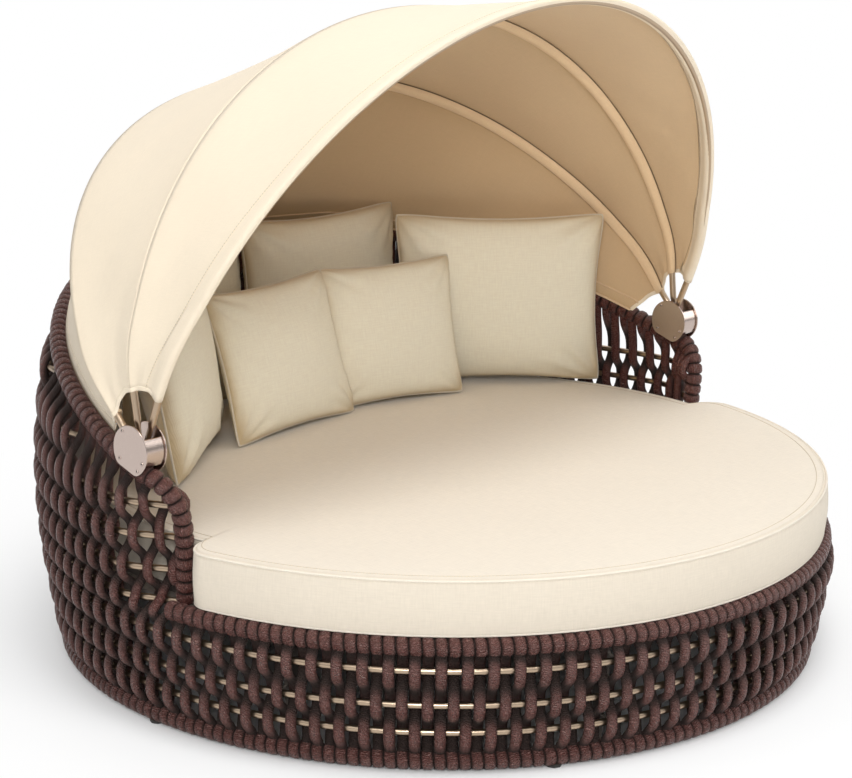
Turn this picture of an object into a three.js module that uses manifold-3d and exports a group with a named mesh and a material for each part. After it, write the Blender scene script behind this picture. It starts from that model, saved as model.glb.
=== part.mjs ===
// Outdoor daybed: a round rope-woven wall with a mattress, cushions and a canopy that folds back.
// Millimetres, Z up, front towards -Y, origin on the floor at the middle of the base.
import * as THREE from 'three';
import { mergeVertices } from 'three/addons/utils/BufferGeometryUtils.js';
import Module from 'manifold-3d';

const wasm = await Module();
wasm.setup();

const degree = Math.PI / 180;
const quarterTurn = Math.PI / 2;
const halfTurn = Math.PI;
const fullTurn = 2 * Math.PI;

// Fit
const seatGap = 0.4; // between pieces that rest on, or pass, each other
const joinDepth = 1; // how far two shapes of one piece run into each other

// Rope wall
const strandCount = 216;
const strandsPerFacet = 6; // strands across one straight facet of a rod
const frontStrands = 51; // strands from the middle of the front to a post
const rimStrands = 57; // strands from the middle of the front to the end of the back rim
const frontFacets = [3, 4, 3, 4, 3]; // facets in each length of the front wall
const backFacets = [3, 3, 2, 3, 2, 3, 3];
const ropeDepth = 21;
const ropeWidthShare = 0.92; // of the pitch
const rodRadius = 7.5;
const wrapRadius = 21; // rope wrap of the bottom ring, the rims and the posts
const wrapSides = 6;
const baseRadius = 864;
const bulgeRadius = 916;
const bulgeHeight = 430;
const frontRimRadius = 895;
const frontRimHeight = 280;
const sideRimRadius = 890;
const sideRimHeight = 557;
const backRimRadius = 866;
const backRimHeight = 815;
const rimRiseStart = 90 * degree;
const rimRiseEnd = 155 * degree;
const rimRoom = 45; // from the middle of the top rod to the flat under the rim
const frontRowShares = [0.314, 0.539, 0.818]; // of the front rim's height
// of the rise from the front rim to the back rim
const backRowShares = [0.013, 0.135, 0.27, 0.4, 0.555, 0.7, 0.845];
const rodEndInset = 2;

// Posts
const postAngle = 84.5 * degree;
const postFootRadius = 852;
const postBendHeight = 95;
const postLeanPower = 4;
const postStraightSteps = 3;
const postBendSteps = 6;
const postRimSteps = 2; // under the hub, along the rim's line
const roofSamples = 8; // places on each step of a post where the strands below it are measured

// Glides, ribs and deck
const glideHeight = 5.4;
const glideRadius = 17;
const glideSides = 8;
const glideAngles = [30, 90, 150, 210, 270, 330].map((angle) => angle * degree);
const ribThickness = 8;
const ribFootLift = 8;
const ribStrands = [13, 40, 67, 94]; // strand columns of the ribs on the right half
const ribUprightWidth = 24;
const ribToothHalf = 4;
const ribToothFlare = 2;
const ribShelfDepth = 22;
const ribFootReach = 22;
const deckThickness = 14;
const deckRimRoom = 18; // between the deck's ring and the front rim
const deckWallRoom = 17; // between the deck's ring and the strands
const deckRingStep = 34; // how far the ring reaches beyond the panel
const deckRingWidth = 60;
const deckRingHeight = 22;
const deckFacets = 30;
const deckSlotWidth = 46;
const deckSlotCount = 7;
const deckSlotMargin = 130; // from the panel's edge to the ends of the slots
const deckSlotSide = 122; // from that margin to the middle of the outermost slot

// Hubs
const hubHeight = 608;
const hubSetback = 11;
const hubPlateRadius = 54;
const hubPlateThickness = 4;
const hubBodyRadius = 50;
const hubInnerAllowance = 5; // room for the curve of the rim inside the inner plate
const eyeRadius = 15;
const eyeThickness = 8;
const eyeClearance = 3;
const pinRadius = 6;
const pinClearance = 0.3;
const eyeSides = 14;
const pinSides = 12;
const hubOpenFront = 52 * degree;
const hubOpenRear = 100 * degree;
const hubArcSteps = 12;
const plateFacets = 22;

// Bows
const bowRadius = 8;
const bowSides = 6;
const eyeSpacing = 13.5;
const neckLength = 48;
const neckTaper = 6;
const neckStart = 11;
const legStraight = 62;
const legEnd = 88; // between the straight leg and the hem
const legBlendShare = 0.35; // of a bow's reach
const bowArcSteps = 17; // as many as the facets of the back rim, so that the cloth's corners lie over both
const bows = {
  front: { lean: 22.2 * degree, halfWidth: 884, reach: 966, roundness: 1.985, place: -1 },
  middle: { lean: -7.5 * degree, halfWidth: 909, reach: 846, roundness: 2.02, place: 0 },
  rear: { lean: -42.3 * degree, halfWidth: 925, reach: 865, roundness: 2.17, place: 1 },
};

// Canopy
const clothThickness = 3;
const clothRise = 120; // hem above the hub's middle, along a bow
const clothArch = 16; // how far the hem arches up between two bows
const clothSag = 8;
const clothAlong = 4;
const clothEase = 0.8; // over a bow or the rim
const rearHemStart = 99 * degree;

// Mattress
const mattressRadius = 900;
const mattressBackRadius = 824;
const mattressTop = 421;
const mattressCrown = 7;
const mattressRound = 14;
const mattressNotchAngle = 82.4 * degree;
const mattressSteps = 18; // in front of the posts, and as many behind them

// Cushions: places are shares of the mattress radius
const cushionPull = 0.09; // share by which a side draws in between its corners
const cushionFullness = 0.42;
const cushionCells = 7;
const cushions = {
  cushion_left_side: {
    width: 460, height: 490, thickness: 160,
    placeShares: [-0.494, 0.383], turn: 38 * degree, lean: 12 * degree,
  },
  cushion_back_left: {
    width: 500, height: 470, thickness: 130,
    placeShares: [-0.239, 0.733], turn: 13 * degree, lean: 3 * degree,
  },
  cushion_back_centre: {
    width: 500, height: 460, thickness: 140,
    placeShares: [0.272, 0.717], turn: -4 * degree, lean: 4 * degree,
  },
  cushion_back_right: {
    width: 500, height: 450, thickness: 140,
    placeShares: [0.68, 0.42], turn: -41 * degree, lean: 0 * degree,
  },
  cushion_throw_left: {
    width: 430, height: 370, thickness: 110,
    placeShares: [-0.111, 0.417], turn: 7 * degree, lean: 18 * degree,
  },
  cushion_throw_right: {
    width: 390, height: 360, thickness: 104,
    placeShares: [0.294, 0.442], turn: -13 * degree, lean: 13 * degree,
  },
};

// Sizes that follow from those above
const pitch = fullTurn / strandCount;
const facetAngle = pitch * strandsPerFacet;
const wrapTurn = fullTurn / wrapSides;
const wrapFlat = wrapRadius * Math.cos(wrapTurn / 2);
const baseHeight = glideHeight + seatGap + wrapFlat;
const rowHeights = [
  ...frontRowShares.map((share) => share * frontRimHeight),
  ...backRowShares.map((share) => frontRimHeight + share * (backRimHeight - frontRimHeight)),
];
const rimFirst = rimStrands;
const rimLast = strandCount - rimStrands;
const deckTop = frontRimHeight + wrapFlat;
const deckRingTop = deckTop - deckThickness;
const deckRingBottom = deckRingTop - deckRingHeight;
const strandsInside = (wallRadius(deckRingBottom) - rodRadius) * Math.cos(facetAngle / 2) - ropeDepth;
const deckRingRadius = Math.min(frontRimRadius - wrapRadius - deckRimRoom, strandsInside - deckWallRoom);
const deckRadius = deckRingRadius - deckRingStep;
const deckSlotSpacing = (deckRadius - deckSlotMargin - deckSlotSide) / ((deckSlotCount - 1) / 2);
const hubOuterFace = sideRimRadius + wrapRadius + seatGap;
const hubInnerFace = sideRimRadius - wrapRadius - hubInnerAllowance;
const hubMiddle = (hubOuterFace + hubInnerFace) / 2;
const mattressCrownInset = mattressRadius / 3;
const mattressCrownHeight = mattressTop + mattressCrown * (2 / 3);

// Colours
const finish = (color, roughness, metalness = 0) => ({ color, roughness, metalness });
const rope = finish(0x5a433f, 0.55);
const bronze = finish(0xa8917a, 0.35, 0.8);
const frameGrey = finish(0x6b625c, 0.5, 0.6);
const plasticBlack = finish(0x2b2928, 0.7);
const canopyCloth = finish(0xf2e4cb, 0.9);
const mattressCloth = finish(0xeadfc9, 0.9);
const cushionCloth = finish(0xcdbd9e, 0.95);

const daybed = new THREE.Group();

function add(name, geometry, { color, roughness, metalness }) {
  const mesh = new THREE.Mesh(geometry, new THREE.MeshStandardMaterial({ color, roughness, metalness }));
  mesh.name = name;
  daybed.add(mesh);
  return mesh;
}

function clampShare(value) {
  return Math.min(1, Math.max(0, value));
}

function smoothShare(value) {
  const share = clampShare(value);
  return share * share * (3 - 2 * share);
}

// A point by its angle round the base from the front towards +X, its radius and its height
function polar(angle, radius, height) {
  return new THREE.Vector3(radius * Math.sin(angle), -radius * Math.cos(angle), height);
}

// Collects corners and faces of one closed solid, and turns all faces outwards
class Skin {
  corners = [];

  faces = [];

  corner(point) {
    this.corners.push(point);
    return this.corners.length - 1;
  }

  // A flat or nearly flat outline, divided from its first corner
  face(outline) {
    for (let i = 1; i < outline.length - 1; i += 1) {
      this.faces.push([outline[0], outline[i], outline[i + 1]]);
    }
  }

  // The sides between two outlines with as many corners each
  band(lower, upper) {
    lower.forEach((corner, i) => {
      const next = (i + 1) % lower.length;
      this.face([corner, lower[next], upper[next], upper[i]]);
    });
  }

  turnFaces() {
    const byEdge = new Map();
    const edgeKey = (a, b) => (a < b ? `${a}:${b}` : `${b}:${a}`);
    this.faces.forEach((face, index) => {
      face.forEach((a, i) => {
        const key = edgeKey(a, face[(i + 1) % 3]);
        if (!byEdge.has(key)) byEdge.set(key, []);
        byEdge.get(key).push(index);
      });
    });
    const turned = new Set([0]);
    const queue = [0];
    while (queue.length > 0) {
      const face = this.faces[queue.pop()];
      face.forEach((a, i) => {
        const b = face[(i + 1) % 3];
        byEdge.get(edgeKey(a, b)).forEach((index) => {
          if (turned.has(index)) return;
          const other = this.faces[index];
          const runsAlike = other.some((c, j) => c === a && other[(j + 1) % 3] === b);
          if (runsAlike) other.reverse();
          turned.add(index);
          queue.push(index);
        });
      });
    }
    const volume = this.faces.reduce((sum, [a, b, c]) => {
      const cross = new THREE.Vector3().crossVectors(this.corners[b], this.corners[c]);
      return sum + this.corners[a].dot(cross);
    }, 0);
    if (volume < 0) this.faces.forEach((face) => face.reverse());
  }

  geometry() {
    this.turnFaces();
    const geometry = new THREE.BufferGeometry().setFromPoints(this.corners);
    geometry.setIndex(this.faces.flat());
    geometry.computeVertexNormals();
    return geometry;
  }
}

// A solid through a row of outlines, closed at both ends or joined to a ring
function loft(outlines, ring = false) {
  const skin = new Skin();
  const ids = outlines.map((outline) => outline.map((point) => skin.corner(point)));
  ids.forEach((outline, i) => {
    if (i + 1 < ids.length || ring) skin.band(outline, ids[(i + 1) % ids.length]);
  });
  if (!ring) {
    skin.face(ids[0]);
    skin.face(ids.at(-1));
  }
  return skin.geometry();
}

// A tube along a path. Each section has a half width across and one along the reference direction,
// where its first corner lies. The last section may face its own way.
function tube(path, halfSizes, sides, reference, lastFacing = null) {
  const outlines = path.map((point, i) => {
    const along = new THREE.Vector3()
      .subVectors(path[Math.min(i + 1, path.length - 1)], path[Math.max(i - 1, 0)])
      .normalize();
    if (lastFacing && i === path.length - 1) along.copy(lastFacing);
    const lift = reference(point).clone();
    lift.addScaledVector(along, -lift.dot(along)).normalize();
    const across = new THREE.Vector3().crossVectors(along, lift);
    const [halfAcross, halfLift] = halfSizes(i);
    return Array.from({ length: sides }, (_, side) => {
      const turn = (side / sides) * fullTurn;
      return point
        .clone()
        .addScaledVector(lift, halfLift * Math.cos(turn))
        .addScaledVector(across, halfAcross * Math.sin(turn));
    });
  });
  return loft(outlines);
}

function solidOf(geometry) {
  const bare = geometry.clone();
  bare.deleteAttribute('normal');
  bare.deleteAttribute('uv');
  const merged = mergeVertices(bare);
  const vertProperties = new Float32Array(merged.attributes.position.array);
  const triVerts = new Uint32Array(merged.index.array);
  return new wasm.Manifold(new wasm.Mesh({ numProp: 3, vertProperties, triVerts }));
}

function geometryOf(solid) {
  const { vertProperties, triVerts } = solid.getMesh();
  const geometry = new THREE.BufferGeometry();
  geometry.setAttribute('position', new THREE.BufferAttribute(vertProperties, 3));
  geometry.setIndex(new THREE.BufferAttribute(triVerts, 1));
  geometry.computeVertexNormals();
  return geometry;
}

// The wall's plan radius at a height, to the middle of its rods: out to the bulge, then in to the back rim
function wallRadius(height) {
  if (height < bulgeHeight) {
    const share = (height - baseHeight) / (bulgeHeight - baseHeight);
    return baseRadius + (bulgeRadius - baseRadius) * Math.sin(quarterTurn * clampShare(share));
  }
  const share = (height - bulgeHeight) / (backRimHeight - bulgeHeight);
  return bulgeRadius - (bulgeRadius - backRimRadius) * (1 - Math.cos(quarterTurn * clampShare(share)));
}

// Rods are polygons: the share of its radius that a facet keeps at an angle
function facetShare(angle) {
  const middle = Math.round(angle / facetAngle) * facetAngle;
  return Math.cos(facetAngle / 2) / Math.cos(angle - middle);
}

function rimShare(angle) {
  const fromFront = Math.min(angle, fullTurn - angle);
  const share = clampShare((fromFront - rimRiseStart) / (rimRiseEnd - rimRiseStart));
  return (share + Math.sin(quarterTurn * share)) / 2;
}

function backRim(angle) {
  const share = rimShare(angle);
  return {
    radius: sideRimRadius + (backRimRadius - sideRimRadius) * share,
    height: sideRimHeight + (backRimHeight - sideRimHeight) * share,
  };
}

// The back rim's middle on its straight facets
function backRimFacet(angle) {
  const start = rimFirst * pitch;
  const corner = start + Math.floor((angle - start) / facetAngle) * facetAngle;
  const share = (angle - corner) / facetAngle;
  const [near, far] = [backRim(corner), backRim(corner + facetAngle)];
  return {
    radius: (near.radius + (far.radius - near.radius) * share) * facetShare(angle),
    height: near.height + (far.height - near.height) * share,
  };
}

const frontRim = () => ({ radius: frontRimRadius, height: frontRimHeight });
const baseRing = () => ({ radius: baseRadius, height: baseHeight });

// Post: up from the deck ring, a quarter ellipse back, then along the rim's line under the hub
function postPath(side) {
  const footHeight = deckRingTop + seatGap;
  const bendStart = sideRimHeight - postBendHeight;
  const rimEnd = rimStrands * pitch - seatGap / (2 * sideRimRadius);
  const points = [];
  const place = (angle, height) => {
    const share = (height - footHeight) / (sideRimHeight - footHeight);
    const radius = postFootRadius + (sideRimRadius - postFootRadius) * share ** postLeanPower;
    points.push(polar(side * angle, radius, height));
  };
  for (let i = 0; i < postStraightSteps; i += 1) {
    place(postAngle, footHeight + (bendStart - footHeight) * (i / postStraightSteps));
  }
  for (let i = 0; i <= postBendSteps; i += 1) {
    const turn = quarterTurn * (i / postBendSteps);
    const angle = postAngle + (rimRiseStart - postAngle) * (1 - Math.cos(turn));
    place(angle, bendStart + postBendHeight * Math.sin(turn));
  }
  for (let i = 1; i <= postRimSteps; i += 1) {
    const angle = rimRiseStart + (rimEnd - rimRiseStart) * (i / postRimSteps);
    const { radius, height } = backRim(angle);
    points.push(polar(side * angle, radius * facetShare(rimEnd), height));
  }
  return points;
}

// The height at which a strand under a post's bend has to stop
function roofOverStrand(index) {
  const rightIndex = index < strandCount / 2 ? index : strandCount - 1 - index;
  const angle = (rightIndex + 0.5) * pitch;
  const wallInside = ropeDepth + rodRadius + 2 * seatGap;
  const path = postPath(1);
  const samples = path.slice(1).flatMap((point, i) => (
    Array.from({ length: roofSamples }, (_, k) => path[i].clone().lerp(point, k / roofSamples))
  ));
  const roofs = samples.map((point) => {
    const radius = Math.hypot(point.x, point.y);
    const aside = Math.abs(Math.atan2(point.x, -point.y) - angle) * radius;
    const isOver = aside < wrapRadius + (pitch * radius) / 2;
    const isAgainst = radius + wrapRadius > wallRadius(point.z) - wallInside;
    return isOver && isAgainst ? point.z - wrapRadius : Infinity;
  });
  return Math.min(...roofs) - seatGap;
}

function strandTop(index) {
  const angle = (index + 0.5) * pitch;
  if (index < frontStrands) return { rim: frontRim(), limit: frontRimHeight - wrapFlat - rodRadius };
  if (index >= rimFirst && index < rimLast) {
    const rim = backRim(angle);
    return { rim, limit: rim.height - wrapFlat - rimRoom };
  }
  const roof = roofOverStrand(index);
  return { roof, limit: roof - rodRadius - seatGap };
}

function rowsUnder(index) {
  const { limit } = strandTop(index);
  return rowHeights.filter((height, row) => row < frontRowShares.length || height < limit);
}

const passesOutside = (index, row) => ((index + row) & 1) === 0;

// The flats of rope wrap round a ring, in the upright plane at an angle. Corner 0 points outwards, 1 and 2
// lie on top.
function wrapOutline(angle, { radius, height }) {
  return Array.from({ length: wrapSides }, (_, corner) => {
    const turn = corner * wrapTurn;
    const reach = radius * facetShare(angle) + wrapRadius * Math.cos(turn);
    return polar(angle, reach, height + wrapRadius * Math.sin(turn));
  });
}

// A wrapped ring between two strands. Strands grow from its flat between the corners inner and outer, and
// each foot's three corners are given back: two on the inner edge, shared with the next strand, and one on
// the outer edge.
function addWrap(skin, first, last, ringAt, inner, outer) {
  const step = inner - outer;
  const cornerAfter = (corner, move) => (corner + move + wrapSides) % wrapSides;
  const innerNext = cornerAfter(inner, step);
  const outerNext = cornerAfter(outer, -step);
  const endInset = seatGap / (2 * baseRadius);
  const rings = [];
  for (let index = first; index <= last; index += strandsPerFacet) {
    const inset = (index === first ? endInset : 0) - (index === last ? endInset : 0);
    const angle = index * pitch + inset;
    rings.push(wrapOutline(angle, ringAt(angle)).map((point) => skin.corner(point)));
  }
  skin.face(rings[0]);
  skin.face(rings.at(-1));
  const feet = [];
  rings.slice(0, -1).forEach((near, ring) => {
    const far = rings[ring + 1];
    const between = (corner, share) => {
      const point = skin.corners[near[corner]].clone().lerp(skin.corners[far[corner]], share);
      return skin.corner(point);
    };
    const innerEdge = [near[inner]];
    const outerEdge = [];
    for (let strand = 0; strand < strandsPerFacet; strand += 1) {
      outerEdge.push(between(outer, (strand + 0.5) / strandsPerFacet));
      const isEnd = strand + 1 === strandsPerFacet;
      innerEdge.push(isEnd ? far[inner] : between(inner, (strand + 1) / strandsPerFacet));
      feet.push([innerEdge[strand], innerEdge[strand + 1], outerEdge[strand]]);
    }
    skin.face([near[inner], near[outer], outerEdge[0]]);
    skin.face([far[inner], outerEdge.at(-1), far[outer]]);
    outerEdge.slice(1).forEach((corner, strand) => {
      skin.face([innerEdge[strand + 1], outerEdge[strand], corner]);
    });
    skin.face([near[innerNext], ...innerEdge, far[innerNext]]);
    skin.face([near[outerNext], near[outer], ...outerEdge, far[outer], far[outerNext]]);
    for (let corner = innerNext; corner !== outerNext; corner = cornerAfter(corner, step)) {
      const next = cornerAfter(corner, step);
      skin.face([near[corner], far[corner], far[next], near[next]]);
    }
  });
  return feet;
}

// A strand's three corners at a height: two on its inner face and the ridge outside
function strandOutline(index, innerRadius, height) {
  const angle = (index + 0.5) * pitch;
  const half = (pitch * ropeWidthShare) / 2;
  const corner = (at, radius) => polar(at, radius * facetShare(at), height);
  return [
    corner(angle - half, innerRadius),
    corner(angle + half, innerRadius),
    corner(angle, innerRadius + ropeDepth),
  ];
}

function addStrand(skin, index, foot, head) {
  const innerAt = (height, row) => {
    const reach = rodRadius + seatGap;
    return wallRadius(height) + (passesOutside(index, row) ? reach : -reach - ropeDepth);
  };
  const outlines = rowsUnder(index).map((height, row) => (
    strandOutline(index, innerAt(height, row), height)
  ));
  if (!head) {
    const { roof } = strandTop(index);
    outlines.push(strandOutline(index, innerAt(roof, outlines.length - 1), roof));
  }
  const ids = outlines.map((outline) => outline.map((point) => skin.corner(point)));
  const rings = head ? [foot, ...ids, head] : [foot, ...ids];
  rings.slice(1).forEach((ring, i) => skin.band(rings[i], ring));
  if (!head) skin.face(rings.at(-1));
}

// A length of wall: bottom wrap, strands, and the rim wrap over those strands that reach it
function wallSection(first, last, rimAt, rimFrom, rimTo) {
  const skin = new Skin();
  const feet = addWrap(skin, first, last, baseRing, 2, 1);
  const heads = addWrap(skin, rimFrom, rimTo, rimAt, 4, 5);
  feet.forEach((foot, i) => addStrand(skin, first + i, foot, heads[first + i - rimFrom]));
  return skin.geometry();
}

function addWall() {
  let first = -frontStrands;
  frontFacets.forEach((facets, i) => {
    const last = first + facets * strandsPerFacet;
    add(`wall_front_${i + 1}`, wallSection(first, last, frontRim, first, last), rope);
    first = last;
  });
  backFacets.forEach((facets, i) => {
    const last = first + facets * strandsPerFacet;
    const section = wallSection(first, last, backRim, Math.max(first, rimFirst), Math.min(last, rimLast));
    add(`wall_back_${i + 1}`, section, rope);
    first = last;
  });
}

// A level rod, round the whole wall or along the strands that reach up to it
function rodOutline(angle, height) {
  const radius = wallRadius(height);
  const share = facetShare(angle);
  return [
    polar(angle, (radius + rodRadius) * share, height),
    polar(angle, radius * share, height + rodRadius),
    polar(angle, (radius - rodRadius) * share, height),
    polar(angle, radius * share, height - rodRadius),
  ];
}

function addRods() {
  const corners = Array.from({ length: strandCount / strandsPerFacet }, (_, i) => (i + 0.5) * facetAngle);
  rowHeights.forEach((height, row) => {
    if (row < frontRowShares.length) {
      const ring = corners.map((angle) => rodOutline(angle, height));
      add(`rod_ring_${row + 1}`, loft(ring, true), bronze);
      return;
    }
    let first = frontStrands;
    while (rowsUnder(first).length <= row) first += 1;
    const start = first * pitch + rodEndInset / bulgeRadius;
    const between = corners.filter((angle) => angle > start && angle < fullTurn - start);
    const rod = [start, ...between, fullTurn - start].map((angle) => rodOutline(angle, height));
    add(`rod_back_${row + 1}`, loft(rod), bronze);
  });
}

function addPosts() {
  const radial = (point) => new THREE.Vector3(point.x, point.y, 0).normalize();
  [['left', -1], ['right', 1]].forEach(([name, side]) => {
    const path = postPath(side);
    const endAngle = side * rimStrands * pitch;
    const endFacing = polar(endAngle + side * quarterTurn, 1, 0);
    const post = tube(path, () => [wrapRadius, wrapRadius], wrapSides, radial, endFacing);
    add(`post_${name}`, post, rope);
  });
}

// Rib outline in its own upright plane: X outwards, Y up. Its outer edge follows the inside of the strands,
// with a tooth to each rod that its own strand passes outside. Its shelf carries the deck ring.
function ribShape(index) {
  const angle = (index + 0.5) * pitch;
  const share = facetShare(angle);
  const clear = ropeDepth + 3 * seatGap;
  const bodyAt = (height) => (wallRadius(height) - rodRadius) * share - clear;
  const toothAt = (height) => (wallRadius(height) - rodRadius) * share - seatGap;
  const reachesRim = index >= rimFirst;
  const shelfTop = deckRingBottom - seatGap;
  const ringInner = deckRingRadius - deckRingWidth;
  const foot = baseRadius * share - wrapRadius - seatGap;
  const outer = [[foot, ribFootLift], [foot, baseHeight + wrapFlat]];
  rowsUnder(index).forEach((height, row) => {
    const body = bodyAt(height);
    if (!reachesRim && height > shelfTop) return;
    if (!passesOutside(index, row)) {
      outer.push([body, height]);
      return;
    }
    const tooth = toothAt(height);
    outer.push([body, height - ribToothHalf - ribToothFlare]);
    outer.push([tooth, height - ribToothHalf]);
    outer.push([tooth, height + ribToothHalf]);
    outer.push([body, height + ribToothHalf + ribToothFlare]);
  });
  const inner = [
    [ringInner, shelfTop],
    [ringInner, shelfTop - ribShelfDepth],
    [baseRadius - wrapRadius - ribFootReach, ribFootLift],
  ];
  if (reachesRim) {
    const rim = backRimFacet(angle);
    const top = rim.height - wrapFlat - seatGap;
    const outside = rim.radius - wrapRadius / 2 - seatGap;
    const inside = bodyAt(bulgeHeight) - ribUprightWidth;
    const highest = rowsUnder(index).at(-1);
    outer.push([outside, top]);
    outer.push([Math.min(outside, toothAt(highest)) - ribUprightWidth, top]);
    outer.push([inside, bulgeHeight]);
    outer.push([deckRingRadius + seatGap, deckTop]);
    outer.push([deckRingRadius + seatGap, shelfTop]);
  } else {
    outer.push([deckRingRadius, shelfTop]);
  }
  return new THREE.Shape([...outer, ...inner].map(([x, y]) => new THREE.Vector2(x, y)));
}

function addRibs() {
  const columns = [...ribStrands, ...ribStrands.map((index) => strandCount - 1 - index).reverse()];
  columns.forEach((index, i) => {
    const angle = (index + 0.5) * pitch;
    // the front columns of the left half are counted back from the middle of the front
    const column = index >= strandCount - frontStrands ? index - strandCount : index;
    const options = { depth: ribThickness, bevelEnabled: false };
    const geometry = new THREE.ExtrudeGeometry(ribShape(column), options);
    geometry.translate(0, 0, -ribThickness / 2);
    const outwards = polar(angle, 1, 0);
    const up = new THREE.Vector3(0, 0, 1);
    const across = new THREE.Vector3().crossVectors(outwards, up);
    const rib = add(`rib_${i + 1}`, geometry, frameGrey);
    rib.quaternion.setFromRotationMatrix(new THREE.Matrix4().makeBasis(outwards, up, across));
  });
}

// Deck: a slotted round panel on a stiffening ring
function addDeck() {
  const outline = new THREE.Shape();
  outline.setFromPoints(Array.from({ length: deckFacets }, (_, i) => {
    const turn = (i / deckFacets) * fullTurn;
    return new THREE.Vector2(deckRadius * Math.cos(turn), deckRadius * Math.sin(turn));
  }));
  // each slot is long, with pointed ends
  for (let i = 0; i < deckSlotCount; i += 1) {
    const x = (i - (deckSlotCount - 1) / 2) * deckSlotSpacing;
    const half = Math.sqrt((deckRadius - deckSlotMargin) ** 2 - x ** 2);
    const end = deckSlotWidth / 2;
    outline.holes.push(new THREE.Path([
      [x - end, -half + end], [x, -half], [x + end, -half + end],
      [x + end, half - end], [x, half], [x - end, half - end],
    ].map(([px, py]) => new THREE.Vector2(px, py))));
  }
  const options = { depth: deckThickness + joinDepth, bevelEnabled: false };
  const panel = new THREE.ExtrudeGeometry(outline, options);
  panel.translate(0, 0, deckRingTop - joinDepth);
  const inner = deckRingRadius - deckRingWidth;
  const ring = new THREE.LatheGeometry([
    [inner, deckRingBottom], [deckRingRadius, deckRingBottom], [deckRingRadius, deckRingTop],
    [inner, deckRingTop], [inner, deckRingBottom],
  ].map(([x, y]) => new THREE.Vector2(x, y)), deckFacets);
  ring.rotateX(quarterTurn);
  add('seat_deck', geometryOf(solidOf(panel).add(solidOf(ring))), frameGrey);
}

function addGlides() {
  glideAngles.forEach((angle, i) => {
    const geometry = new THREE.CylinderGeometry(glideRadius, glideRadius, glideHeight, glideSides);
    geometry.rotateX(quarterTurn);
    const glide = add(`glide_${i + 1}`, geometry, plasticBlack);
    glide.position.copy(polar(angle, baseRadius * facetShare(angle), glideHeight / 2));
  });
}

// Hub outlines lie in the upright plane across the pivot and are measured from it: X is the object's Y, and
// Y is its Z
const rimSlope = (() => {
  const next = backRim(rimRiseStart + facetAngle);
  return (next.height - sideRimHeight) / (next.radius * Math.sin(facetAngle));
})();

// How far a ray from the pivot goes before it meets a line along the rim, `rise` above its middle
function reachToRim(turn, rise) {
  const drop = hubHeight - sideRimHeight - rise;
  const [forward, up] = [Math.sin(turn), Math.cos(turn)];
  const sloped = (drop - rimSlope * hubSetback) / (rimSlope * forward - up);
  const level = -drop / up;
  const reach = hubSetback + sloped * forward >= 0 ? sloped : level;
  return reach > 0 ? reach : Infinity;
}

function hubPlateShape() {
  const shape = new THREE.Shape();
  shape.setFromPoints(Array.from({ length: plateFacets }, (_, i) => {
    const turn = (i / plateFacets) * fullTurn;
    const radius = Math.min(hubPlateRadius, reachToRim(turn, 0));
    return new THREE.Vector2(radius * Math.sin(turn), radius * Math.cos(turn));
  }));
  return shape;
}

// The body is a wall round the eyes, open upwards for the bows and cut along the top of the rim
function hubBodyShape() {
  const inner = eyeRadius + eyeClearance;
  const from = fullTurn - hubOpenFront;
  const to = hubOpenRear;
  const turns = Array.from({ length: hubArcSteps + 1 }, (_, i) => (
    from + (to - from) * (i / hubArcSteps)
  ));
  const outside = turns.map((turn) => {
    const radius = Math.min(hubBodyRadius, reachToRim(turn, wrapRadius + seatGap));
    return new THREE.Vector2(radius * Math.sin(turn), radius * Math.cos(turn));
  });
  const inside = turns.map((turn) => new THREE.Vector2(inner * Math.sin(turn), inner * Math.cos(turn)));
  return new THREE.Shape([...outside, ...inside.reverse()]);
}

// A plate in the upright plane across the hub, from one X to another
function acrossHub(shape, fromX, toX) {
  const geometry = new THREE.ExtrudeGeometry(shape, { depth: toX - fromX, bevelEnabled: false });
  const basis = new THREE.Matrix4().makeBasis(
    new THREE.Vector3(0, 1, 0),
    new THREE.Vector3(0, 0, 1),
    new THREE.Vector3(1, 0, 0),
  );
  geometry.applyMatrix4(basis);
  geometry.translate(fromX, hubSetback, hubHeight);
  return geometry;
}

function mirrored(geometry) {
  const other = geometry.clone();
  other.scale(-1, 1, 1);
  const order = other.index ? other.toNonIndexed() : other;
  const { array } = order.attributes.position;
  for (let i = 0; i < array.length; i += 9) {
    const second = array.slice(i + 3, i + 6);
    array.copyWithin(i + 3, i + 6, i + 9);
    array.set(second, i + 6);
  }
  order.deleteAttribute('normal');
  order.deleteAttribute('uv');
  const merged = mergeVertices(order);
  merged.computeVertexNormals();
  return merged;
}

function addHubs() {
  const bodyFrom = hubInnerFace + seatGap;
  const bodyTo = hubOuterFace - seatGap;
  const pin = new THREE.CylinderGeometry(pinRadius, pinRadius, bodyTo - bodyFrom, pinSides);
  pin.rotateZ(quarterTurn);
  pin.translate((bodyFrom + bodyTo) / 2, hubSetback, hubHeight);
  const pieces = {
    outer_plate: acrossHub(hubPlateShape(), hubOuterFace, hubOuterFace + hubPlateThickness),
    inner_plate: acrossHub(hubPlateShape(), hubInnerFace - hubPlateThickness, hubInnerFace),
    body: acrossHub(hubBodyShape(), bodyFrom, bodyTo),
    pivot_pin: pin,
  };
  Object.entries(pieces).forEach(([name, geometry]) => {
    add(`hub_right_${name}`, geometry, bronze);
    add(`hub_left_${name}`, mirrored(geometry), bronze);
  });
}

// A point of a bow by its X and its distance from the hub axis, in the bow's own leaning plane
function bowPoint({ lean }, x, distance) {
  const y = hubSetback - distance * Math.sin(lean);
  return new THREE.Vector3(x, y, hubHeight + distance * Math.cos(lean));
}

const eyeMiddle = (bow) => hubMiddle + bow.place * eyeSpacing;

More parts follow.
